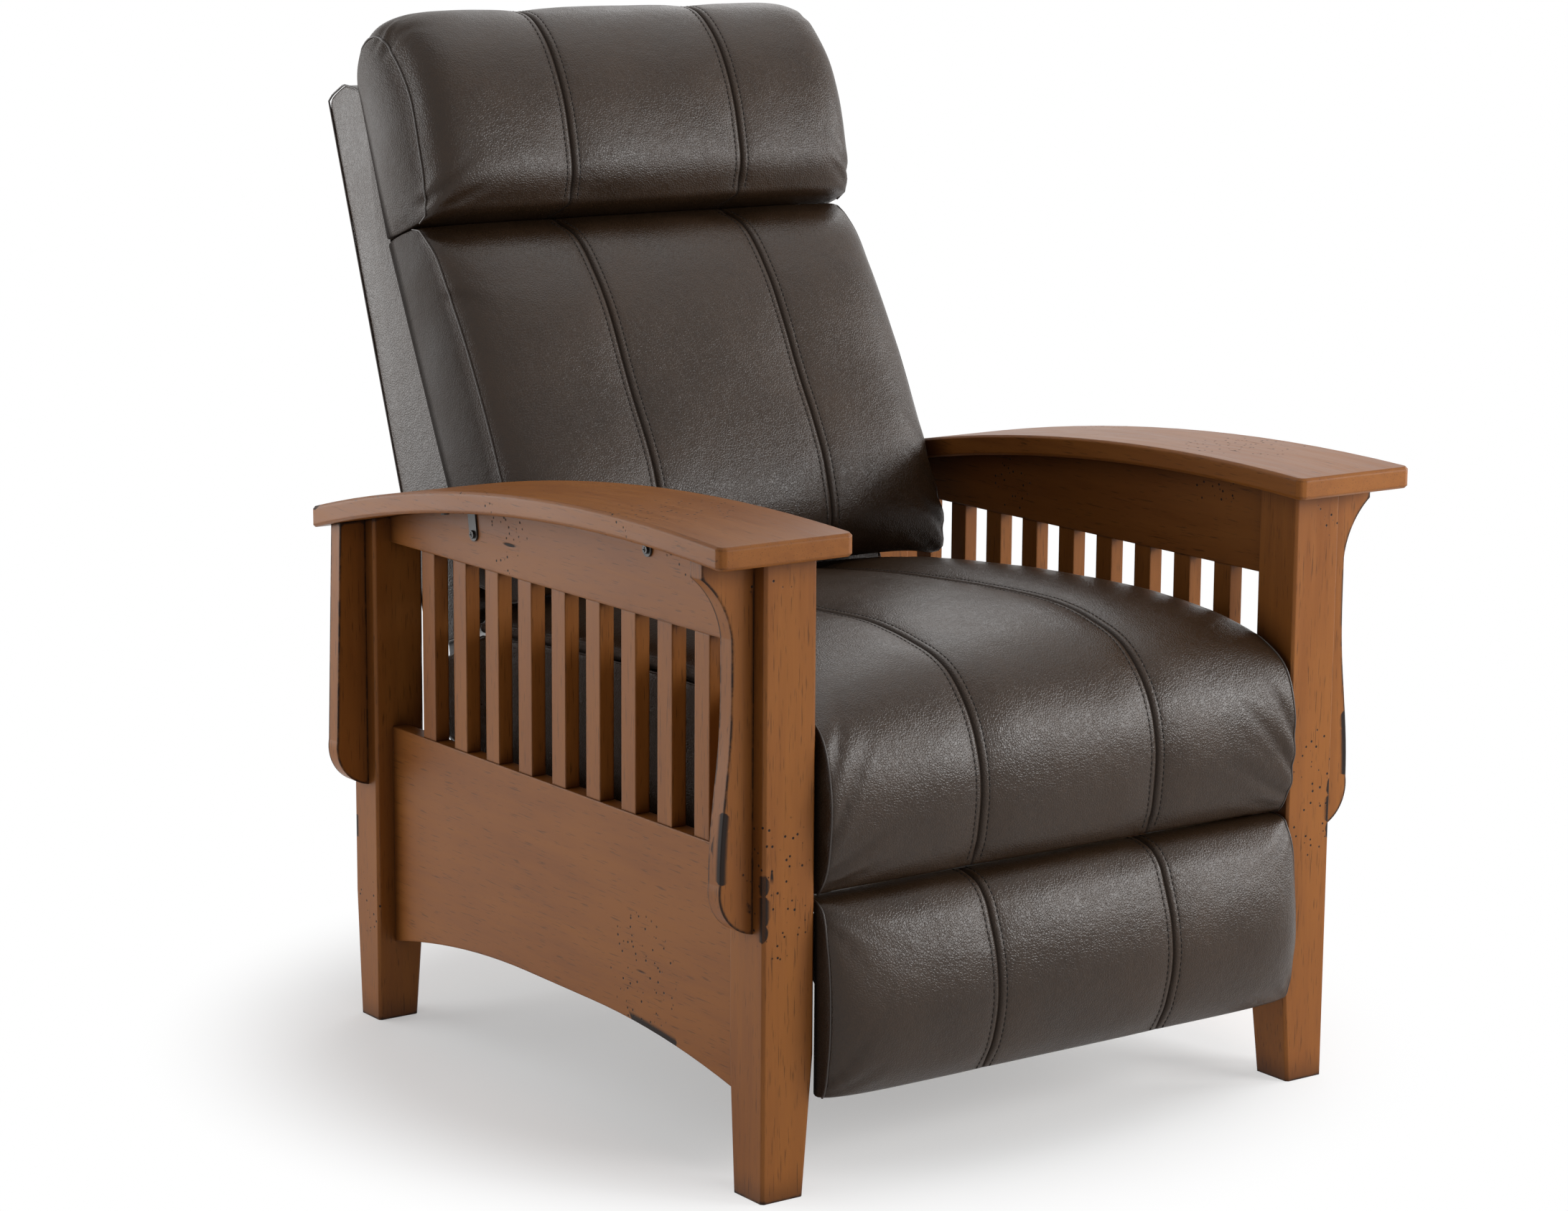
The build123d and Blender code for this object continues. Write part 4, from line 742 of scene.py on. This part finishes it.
FOOTREST_FORM = COMMON | {
    "nodes": ("footrest_pad",), "body": "footrest", "place": at,
    "half": 288.0, "count": 46, "step": 9.0,
    "crown": ((25, 281), (8, 281.5), (-8, 277), (-22, 264), (-33, 240), (-43, 210), (-47, 179),
              (-46, 158), (-42, 138), (-33, 112), (-18, 92)),
    "edge": ((25, 280), (8, 280), (-4, 275), (-10, 262), (-14, 242), (-18, 210), (-19.5, 179),
             (-19.5, 158), (-18, 140), (-15, 115), (-10, 94)),
    "hidden": ((25, 268.5), (7.5, 268.5), (7.5, 92)),
    "seed": 31.0, "fill": 0.8, "square": 10, "held_start": 8, "valley": 1.8, "wave": 0.9,
    "bulge": 2.0, "panel_rows": 4, "most": 6.0, "row_inset": 1,
    "folds": (
        (-288, 36, -236, 78, 9, 2.4), (-288, 46, -250, 118, 9, 1.8), (288, 36, 240, 78, 9, 2.4),
        (288, 46, 252, 112, 9, 1.6), (-288, 236, -232, 194, 9, 2.8), (-288, 222, -246, 154, 8, 1.8),
        (288, 236, 238, 196, 9, 2.4), (288, 224, 250, 162, 8, 1.6),
    ),
}


def widths(form):
    """Places across a cushion, close together at its seams and stitches and near its sides."""
    half, row = form["half"], bpy.context.scene.recliner_sewing.row_gap
    beside = (0, 1.5, 4, row - 1.2, row, row + 1.2, 14)
    near = [seam + side * gap for seam in SEAMS for gap in beside for side in (-1, 1)]
    marks = sorted({-half, half, 4 - half, half - 4, 10 - half, half - 10, *near, *form["extra"]})
    places = []
    for a, b in zip(marks, marks[1:]):
        places += list(np.linspace(a, b, max(1, round((b - a) / form["step"])), endpoint=False))
    return np.array(places + [half])


def fullness(share, square):
    """How much of its crown a cushion has at that share of its half width; a higher square
    keeps it full for longer."""
    return (1 - min(abs(share), 1.0) ** square) ** 0.625


def side_lines(form, points, row, sign):
    """Adds the points of a side panel that bulges between the two sections of a cushion's last
    row. Returns its lines, from the shown section to the hidden one."""
    count, rows = form["count"], form["panel_rows"]
    lines = [list(row[:count])]
    for share in (r / rows for r in range(1, rows)):
        line = []
        for j in range(count):
            shown, hidden = points[row[j]], points[row[count + j]]
            bow = sin(pi * share) ** 0.7 * min(1.0, (hidden - shown).length / 0.04)
            bow *= sin(pi * (j + 0.5) / count) ** 0.5
            line.append(len(points))
            points.append(shown.lerp(hidden, share) + Vector((sign * form["bulge"] * bow * MM, 0, 0)))
        lines.append(line)
    return lines + [list(row[count:])]


def cushion_form(name, form):
    """The closed cover of a cushion: rows across, a shown and a hidden section along each row,
    and side panels. Returns the piece, its places across, its rows and its panels' lines."""
    count = form["count"]
    across = widths(form)
    crown, edge = rounded(form["crown"], count), rounded(form["edge"], count)
    points, grid = [], []
    for x in across:
        shown = edge + fullness(x / form["half"], form["square"]) * (crown - edge)
        outer = abs(x) > form["hidden_from"]
        hidden = even(form["hidden_side"] if outer else form["hidden"], count)
        grid.append(range(len(points), len(points) + 2 * count))
        points += [form["place"](*q, x) for q in (*shown, *hidden)]
    faces = []
    order = list(range(count)) + list(range(2 * count - 1, count - 1, -1))
    for row, after in zip(grid, grid[1:]):
        for j, k in zip(order, order[1:] + order[:1]):
            faces.append((row[j], row[k], after[k], after[j]))
    sides = []
    for row, sign in ((grid[0], -1), (grid[-1], 1)):
        lines = side_lines(form, points, row, sign)
        for one, two in zip(lines, lines[1:]):
            faces += [(one[j], one[j + 1], two[j + 1], two[j]) for j in range(count - 1)]
        faces += [tuple(line[j] for line in lines) for j in (0, count - 1)]
        sides.append(lines)
    mesh = bpy.data.meshes.new(name)
    mesh.from_pydata([tuple(p) for p in points], [], faces)
    mend(mesh)
    smooth(mesh)
    return show(name, mesh), across, grid, sides


def swell(piece, held, most):
    """Presses the filling out against the cover between its sewn and resting places."""
    filling = bpy.context.scene.recliner_filling
    piece.vertex_groups.new(name="held").add(held, 1.0, "REPLACE")
    before = np.array([v.co for v in piece.data.vertices])
    cover = piece.modifiers.new("cover", "CLOTH")
    cloth = cover.settings
    cloth.quality = 5
    cloth.mass = 0.3
    cloth.tension_stiffness = cloth.compression_stiffness = 16
    cloth.shear_stiffness = 6
    cloth.bending_stiffness = 6.0
    cloth.use_pressure = True
    cloth.uniform_pressure_force = filling.pressure
    cloth.vertex_group_mass = "held"
    cloth.shrink_min = -filling.slack
    cloth.effector_weights.gravity = 0
    cover.collision_settings.use_collision = False
    cover.point_cache.frame_start, cover.point_cache.frame_end = 1, CLOTH_FRAMES
    scene = bpy.context.scene
    for number in range(1, CLOTH_FRAMES + 1):
        scene.frame_set(number)
    graph = bpy.context.evaluated_depsgraph_get()
    after = np.array([v.co for v in piece.evaluated_get(graph).data.vertices])
    piece.modifiers.remove(cover)
    scene.frame_set(1)
    move = after - before
    far = np.linalg.norm(move, axis=1)
    move *= np.where(far > most * MM, most * MM / np.maximum(far, 1e-9), 1)[:, None]
    piece.data.vertices.foreach_set("co", (before + move).astype(np.float32).ravel())
    piece.data.update()


def bell(distance, width):
    """1 in the middle, falling to 0 on both sides like a bell."""
    return np.exp(-((distance / width) ** 2))


def fold_at(fold, x, way):
    """How deep a fold and the ridges beside it press a place in, and how much painted shade its groove
    takes.
    """
    x0, way0, x1, way1, wide, deep = fold
    run = Vector((x1 - x0, way1 - way0))
    there = Vector((x - x0, way - way0))
    share = there.dot(run) / run.length_squared
    if not -0.15 < share < 1.0:
        return 0.0, 0.0
    off = abs(there.x * run.y - there.y * run.x) / run.length
    fade = (1 - max(share, 0)) ** 0.8 * min(1, (share + 0.15) / 0.15)
    groove = bell(off, wide * 0.5) * fade
    ridge = bell(off - wide, wide * 0.6) * fade
    return deep * (groove - 0.55 * ridge), 0.35 * groove


def pressed_in(form, sewing, x, way):
    """How deep seams, puckers and folds press a place in, in millimetres, and how much painted shade it
    takes in seam grooves, stitch rows and folds.
    """
    depth, dark = 0.0, 0.0
    for seam in SEAMS:
        gap = abs(x - seam)
        off_row = gap - sewing.row_gap
        depth += sewing.groove * bell(gap, 1.9) + form["valley"] * bell(gap, 24)
        depth += 0.7 * bell(off_row, 1.4)
        # painted shade in the seam groove and along the stitch rows
        dark = max(dark, bell(gap, 1.7), 0.3 * bell(off_row, 1.1))
        # puckers outside the seam, about as long as a stitch or two
        if gap > 7:
            pull = noise.noise(Vector((seam, way / 8.5, form["seed"])))
            depth += 0.6 * pull * bell(gap - 8, 10)
    depth += form["wave"] * noise.noise(Vector((x / 90, way / 75, form["seed"] + 7)))
    depth += 0.3 * noise.noise(Vector((x / 26, way / 30, form["seed"] + 3)))
    for fold in form["folds"]:
        push, mark = fold_at(fold, x, way)
        depth += push
        dark = max(dark, mark)
    return depth, dark


def sew(piece, form, across, grid, sides):
    """Presses seams, puckers and folds into the cover, and marks the painted shade of each point."""
    sewing = bpy.context.scene.recliner_sewing
    mesh = piece.data
    mesh.update()
    normals = np.zeros(len(mesh.vertices) * 3, np.float32)
    mesh.vertex_normals.foreach_get("vector", normals)
    normals = normals.reshape(-1, 3)
    points = np.array([v.co for v in mesh.vertices])
    shade = np.zeros(len(points))
    ways = way_along(rounded(form["crown"], form["count"]))
    moved = points.copy()
    for x, row in zip(across, grid):
        for way, number in zip(ways, row):
            depth, shade[number] = pressed_in(form, sewing, x, way)
            ends = min(1.0, way / TUCKED, (ways[-1] - way) / TUCKED)
            moved[number] = points[number] - normals[number] * depth * ends * MM
    # painted shade over the side panels, and near-black painted shadow on their last two rows, where each
    # panel tucks in against the frame
    for lines in sides:
        for line in lines[1:-2]:
            shade[line] = form["side_shade"]
        for line in lines[-2:]:
            shade[line] = 0.9
    mesh.vertices.foreach_set("co", moved.astype(np.float32).ravel())
    # the seam attribute carries this painted shade to the leather
    mark = mesh.attributes.new("seam", "FLOAT", "POINT")
    mark.data.foreach_set("value", shade.astype(np.float32))
    mesh.update()


def make_cushion(name, form):
    """A cushion from its form: cover, filling, seams, thread and welts."""
    piece, across, grid, sides = cushion_form(name, form)
    count, inset = form["count"], form["row_inset"]
    row_gap = bpy.context.scene.recliner_sewing.row_gap
    from_seam = [min(abs(x - seam) for seam in SEAMS) for x in across]
    held = []
    for row, gap in zip(grid, from_seam):
        sewn = gap < row_gap + ON_LINE or row in (grid[0], grid[-1])
        start, end = (0, 0) if sewn else (form["held_start"], count - form["held_end"])
        held += [*row[:start], *row[end:]]
    swell(piece, held, form.get("most", bpy.context.scene.recliner_filling.most_swell))
    sew(piece, form, across, grid, sides)
    subdivide(piece, 1)
    piece.data.materials.append(material("espresso_leather", leather))
    rows = [row for row, gap in zip(grid, from_seam) if abs(gap - row_gap) < ON_LINE]
    stitch(name + "_thread", piece, [row[inset : count - inset] for row in rows], form["body"])
    spots = piece.data.vertices
    rims = [
        [spots[n].co + spots[n].normal * WELT_STAND for n in row[:count]]
        for row in (grid[0], grid[-1])]
    welt(name + "_welts", rims, CUSHION_WELT_STEP, form["body"])
    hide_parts(*form["nodes"])
    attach(piece, form["body"])
    return piece


# Upholstered boards

# Rings from the middle of a board's face to its rim, and the step from point to point
BOARD_RINGS = 5
BOARD_STEP = 12.0
# How far its rims are eased, and on a thick board where rings start between them and their step
RIM_EASE = 2.0
BETWEEN_START, BETWEEN_STEP, THICK_BOARD = 8.0, 45.0, 60.0

SIDE_OUTLINE = (
    (21, 301), (650, 301), (715, 319), (715, 374), (598, 427),
    *(tuple(p) for p in rounded(((598, 427), (450, 439.5), (300, 445), (160, 445.5), (21, 442)), 14)[1:]),
)
# Places across of a side's inner and outer face, how far they dome, and the height above which
# a welt runs along the rim
SIDE_INNER, SIDE_OUTER, SIDE_CROWN = 271.0, 284.5, 1.2
SIDE_WELT_FROM = 420 * MM

SHELL_OUTLINE = (
    (1, 1), (200, 0.5), (400, 0.5), (603, 1), (607, 12), (610, 38), (601, 58), (590, 75),
    (440, 74.5), (300, 89), (152, 105), (22, 109), (4, 100), (1, 82),
)
SHELL_HALF, SHELL_CROWN = 265.5, 3.0


def board_loop(outline):
    """An outline cut into steps that keeps its corners, and the spot on the line down its
    middle that each of its points draws in towards."""
    outline = np.array(outline, float)
    closed = np.vstack([outline, outline[:1]])
    loop = even(closed, max(24, int(way_along(closed)[-1] / BOARD_STEP)) + 1)[:-1]
    for corner in outline:
        loop[np.argmin(np.linalg.norm(loop - corner, axis=1))] = corner
    centre = loop.mean(0)
    tips = [loop[pick(loop[:, 0])] * 0.35 + centre * 0.65 for pick in (np.argmin, np.argmax)]
    spine = tips[1] - tips[0]
    share = np.clip(((loop - tips[0]) @ spine) / (spine @ spine), 0, 1)
    return loop, tips[0] + share[:, None] * spine


def slab_form(name, outline, place, near, far, crown, body, nodes):
    """A thin upholstered board: an outline with eased rims between two faces that dome a little.
    near and far are the places across the chair of its two faces. Returns its two rims."""
    loop, middle = board_loop(outline)
    count = len(loop)
    sign = 1 if far > near else -1
    spread = abs(far - near)
    between = ()
    if spread > THICK_BOARD:
        between = np.linspace(BETWEEN_START, spread - BETWEEN_START, round(spread / BETWEEN_STEP))
    # each ring: how far it is drawn in, and where it lies across; drop is how far below its crown
    drop = {t: crown * (1 - t) ** 2 for t in np.linspace(0.03, 1, BOARD_RINGS)}
    rings = [(t, near + sign * drop[t]) for t in reversed(drop)]
    rings += [(0.0, near + sign * b) for b in (RIM_EASE, *between, spread - RIM_EASE)]
    rings += [(t, far - sign * drop[t]) for t in drop]
    points, rows = [], []
    for inset, x in rings:
        rows.append(range(len(points), len(points) + count))
        points += [place(*q, x) for q in loop + inset * (middle - loop)]
    rims = [[points[n] for n in rows[number]] for number in (BOARD_RINGS, len(rows) - BOARD_RINGS - 1)]
    faces = []
    for one, two in zip(rows, rows[1:]):
        for j in range(count):
            k = (j + 1) % count
            faces.append((one[j], one[k], two[k], two[j]))
    mesh = bpy.data.meshes.new(name)
    mesh.from_pydata([tuple(p) for p in points], [], faces)
    # the innermost ring folds onto the middle line, so its two flanks meet
    mend(mesh, merge=0.4 * MM, fill=True)
    # slack in the hide: waves about 70 and 25 mm long
    for p in mesh.vertices:
        wobble = noise.noise(p.co * 14) * 0.5 + noise.noise(p.co * 40) * 0.2
        p.co += p.normal * wobble * MM
    piece = show(name, mesh)
    # an empty seam attribute, so the boards take no painted shade
    mesh.attributes.new("seam", "FLOAT", "POINT")
    subdivide(piece, 2)
    piece.data.materials.append(material("espresso_leather", leather))
    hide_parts(*nodes)
    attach(piece, body)
    return rims


# Studio

# The camera, solved from the chair's parallel edges in the photograph
CAMERA_PLACE = (-2.37105, -3.29422, 1.2462)
CAMERA_AZIMUTH, CAMERA_ELEVATION, CAMERA_ROLL = -35.642, 11.055, 0.384
FOCAL_PIXELS = 5538.61
PHOTO_WIDTH_PIXELS = 2184
SENSOR_WIDTH = 36.0

FLOOR_RADIUS = 9.0
FLOOR_DROP = 0.4 * MM

# Light that the white room throws on things, as a share of how bright it looks
ROOM_LIGHT = 0.27
# Soft lamps: name, place and aim in metres, width, depth and power in watts
LAMPS = (
    ("overhead", (0.6, 0.1, 3.1), (0.1, 0.0, 0.5), 2.6, 2.4, 23.0),
    ("right_rear", (2.05, 2.1, 2.35), (0.0, -0.1, 0.5), 1.3, 1.2, 6.0),
    ("front", (-0.2, -3.4, 1.6), (0.0, 0.0, 0.5), 1.4, 1.5, 12.5),
    ("right_front", (1.5, -2.05, 1.1), (0.1, -0.3, 0.5), 1.1, 0.7, 32.0),
    ("right", (2.7, -0.8, 1.1), (0.2, 0.0, 0.6), 1.4, 1.3, 32.0),
    ("left_rear", (-2.1, 2.3, 0.85), (-0.2, 0.0, 0.5), 3.2, 1.6, 55.0),
)


def camera_axes(azimuth, elevation, roll):
    """The camera's right, up and forward directions."""
    a, e, r = (radians(v) for v in (azimuth, elevation, roll))
    forward = Vector((-sin(a) * cos(e), cos(a) * cos(e), -sin(e)))
    level = Vector((cos(a), sin(a), 0.0))
    up = level.cross(forward)
    return level * cos(r) + up * sin(r), up * cos(r) - level * sin(r), forward


def stand_camera(scene):
    """Puts the camera where the photograph was taken."""
    lens = bpy.data.cameras.new("camera")
    lens.sensor_fit = "HORIZONTAL"
    lens.sensor_width = SENSOR_WIDTH
    lens.lens = FOCAL_PIXELS / PHOTO_WIDTH_PIXELS * SENSOR_WIDTH
    lens.clip_end = 60
    camera = bpy.data.objects.new("camera", lens)
    right, up, forward = camera_axes(CAMERA_AZIMUTH, CAMERA_ELEVATION, CAMERA_ROLL)
    turn = Matrix((right, up, -forward)).transposed().to_4x4()
    camera.matrix_world = Matrix.Translation(Vector(CAMERA_PLACE)) @ turn
    scene.collection.objects.link(camera)
    scene.camera = camera


def whiten_room(scene):
    """A white room all round, dimmer in the light that it throws than to the eye."""
    world = bpy.data.worlds.new("studio")
    world.use_nodes = True
    tree = world.node_tree
    tree.nodes.clear()
    level = put(tree, "ShaderNodeMapRange", {"Value": looked_at(tree), "To Min": ROOM_LIGHT})
    sky = put(tree, "ShaderNodeBackground", {"Color": linear("#ffffff"), "Strength": level})
    put(tree, "ShaderNodeOutputWorld", {"Surface": sky})
    scene.world = world


def lay_floor(scene):
    """A round white floor just under the feet."""
    floor = bpy.data.meshes.new("floor")
    turns = [2 * pi * k / 64 for k in range(64)]
    ring = [(cos(a) * FLOOR_RADIUS, sin(a) * FLOOR_RADIUS, -FLOOR_DROP) for a in turns]
    floor.from_pydata(ring, [], [tuple(range(64))])
    floor.materials.append(material("white_sweep", sweep_white))
    sweep = bpy.data.objects.new("floor", floor)
    scene.collection.objects.link(sweep)


def hang_lamps(scene):
    """The soft lamps, each turned to its aim."""
    for name, place, aim, width, depth, power in LAMPS:
        lamp = bpy.data.lights.new(name, "AREA")
        lamp.shape = "RECTANGLE"
        lamp.size, lamp.size_y, lamp.energy = width, depth, power
        light = bpy.data.objects.new(name, lamp)
        turn = (Vector(aim) - Vector(place)).to_track_quat("-Z", "Y").to_matrix().to_4x4()
        light.matrix_world = Matrix.Translation(place) @ turn
        scene.collection.objects.link(light)


# One operator for each piece or group of like pieces

# The chair's timber: starts of node names, the axis of the grain, and how worn its edges are
TIMBER = (
    (("front_post", "rear_post", "front_corbel", "rear_corbel"), 2, 1.0),
    (("slats",), 2, 0.12),
    (("arm_left", "arm_right"), 1, 1.0),
    (("upper_rail", "lower_panel"), 1, 0.12),
    (("rear_stretcher",), 0, 1.0),
)
HIDDEN_FRAMES = ("cleat", "seat_rail", "seat_cross", "back_stile", "back_cross", "footrest_board")
BOLTS = ("base_bolts", "seat_bolts", "back_bolts")
IRONWORK = (
    "base_rail", "cross_tube", "swing_link", "seat_plate", "seat_springs", "back_bracket",
    "footrest_bracket", "front_link", "rear_link", "upper_link", "lower_link", "arm_tabs",
    "tab_screws",
)


class RECLINER_OT_studio(bpy.types.Operator):
    """Sets up the white studio: camera, room, floor and soft lights"""

    bl_idname = "recliner.studio"
    bl_label = "Studio"

    def execute(self, context):
        context.scene.view_settings.view_transform = "Standard"
        stand_camera(context.scene)
        whiten_room(context.scene)
        lay_floor(context.scene)
        hang_lamps(context.scene)
        return {"FINISHED"}


class RECLINER_OT_timber(bpy.types.Operator):
    """Stains and distresses the oak that shows, and gives the hidden frames raw pine"""

    bl_idname = "recliner.timber"
    bl_label = "Timber"

    def execute(self, context):
        for starts, grain, rub in TIMBER:
            dress(starts, stained_oak(grain, rub))
        dress(HIDDEN_FRAMES, material("raw_pine", pine))
        return {"FINISHED"}


class RECLINER_OT_ironwork(bpy.types.Operator):
    """Paints the links, plates, rails, tabs and springs, and plates the bolts"""

    bl_idname = "recliner.ironwork"
    bl_label = "Ironwork"

    def execute(self, context):
        dress(BOLTS, material("zinc_plated_steel", zinc))
        dress(IRONWORK, material("black_enamel_steel", painted_steel))
        return {"FINISHED"}


class RECLINER_OT_seat_cushion(bpy.types.Operator):
    """Builds the seat cushion with its rolled front"""

    bl_idname = "recliner.seat_cushion"
    bl_label = "Seat cushion"

    def execute(self, context):
        make_cushion("seat_cushion_leather", SEAT_FORM)
        return {"FINISHED"}


class RECLINER_OT_seat_sides(bpy.types.Operator):
    """Builds the leather sides of the seat box and their welts"""

    bl_idname = "recliner.seat_sides"
    bl_label = "Seat sides"

    def execute(self, context):
        for name, sign in (("left", -1), ("right", 1)):
            rims = slab_form(
                "seat_side_leather_" + name, SIDE_OUTLINE, at, sign * SIDE_INNER, sign * SIDE_OUTER,
                SIDE_CROWN, "seat", ("seat_cover_" + name,))
            top = sorted((p for p in rims[1] if p.z > SIDE_WELT_FROM), key=lambda p: p.y)
            welt("seat_side_welt_" + name, [top], BOARD_WELT_STEP, "seat")
        return {"FINISHED"}


class RECLINER_OT_back_cushion(bpy.types.Operator):
    """Builds the lower back cushion"""

    bl_idname = "recliner.back_cushion"
    bl_label = "Lower back cushion"

    def execute(self, context):
        make_cushion("back_cushion_leather", BACK_FORM)
        return {"FINISHED"}


class RECLINER_OT_headrest(bpy.types.Operator):
    """Builds the headrest pillow"""

    bl_idname = "recliner.headrest"
    bl_label = "Headrest pillow"

    def execute(self, context):
        make_cushion("headrest_leather", HEADREST_FORM)
        return {"FINISHED"}


class RECLINER_OT_back_shell(bpy.types.Operator):
    """Builds the upholstered outer shell of the back and its welts"""

    bl_idname = "recliner.back_shell"
    bl_label = "Back shell"

    def execute(self, context):
        rims = slab_form(
            "back_shell_leather", SHELL_OUTLINE, on_back, -SHELL_HALF, SHELL_HALF, SHELL_CROWN,
            "back", ("back_shell",))
        for name, rim in zip(("left", "right"), rims):
            welt("back_shell_welt_" + name, [rim], BOARD_WELT_STEP, "back")
        return {"FINISHED"}


class RECLINER_OT_footrest(bpy.types.Operator):
    """Builds the footrest pad"""

    bl_idname = "recliner.footrest"
    bl_label = "Footrest pad"

    def execute(self, context):
        make_cushion("footrest_leather", FOOTREST_FORM)
        return {"FINISHED"}


OPERATORS = (
    RECLINER_OT_studio,
    RECLINER_OT_timber,
    RECLINER_OT_ironwork,
    RECLINER_OT_seat_cushion,
    RECLINER_OT_seat_sides,
    RECLINER_OT_back_cushion,
    RECLINER_OT_headrest,
    RECLINER_OT_back_shell,
    RECLINER_OT_footrest,
)


class RECLINER_PT_panel(bpy.types.Panel):
    """Lists the chair's sizes, colours and pieces"""

    bl_idname = "RECLINER_PT_panel"
    bl_label = "Mission recliner"
    bl_space_type = "VIEW_3D"
    bl_region_type = "UI"
    bl_category = "Recliner"

    def draw(self, context):
        for name, group in SETTINGS.items():
            box = self.layout.box()
            for key in group.__annotations__:
                box.prop(getattr(context.scene, name), key)
        for kind in OPERATORS:
            self.layout.operator(kind.bl_idname)


def register():
    for name, group in SETTINGS.items():
        bpy.utils.register_class(group)
        setattr(bpy.types.Scene, name, bpy.props.PointerProperty(type=group))
    for kind in (*OPERATORS, RECLINER_PT_panel):
        bpy.utils.register_class(kind)


def unregister():
    for kind in (RECLINER_PT_panel, *reversed(OPERATORS)):
        bpy.utils.unregister_class(kind)
    for name, group in SETTINGS.items():
        delattr(bpy.types.Scene, name)
        bpy.utils.unregister_class(group)


def main():
    register()
    bpy.ops.recliner.studio()
    bpy.ops.recliner.timber()
    bpy.ops.recliner.ironwork()
    bpy.ops.recliner.seat_cushion()
    bpy.ops.recliner.seat_sides()
    bpy.ops.recliner.back_cushion()
    bpy.ops.recliner.headrest()
    bpy.ops.recliner.back_shell()
    bpy.ops.recliner.footrest()


if __name__ == "__main__":
    main()
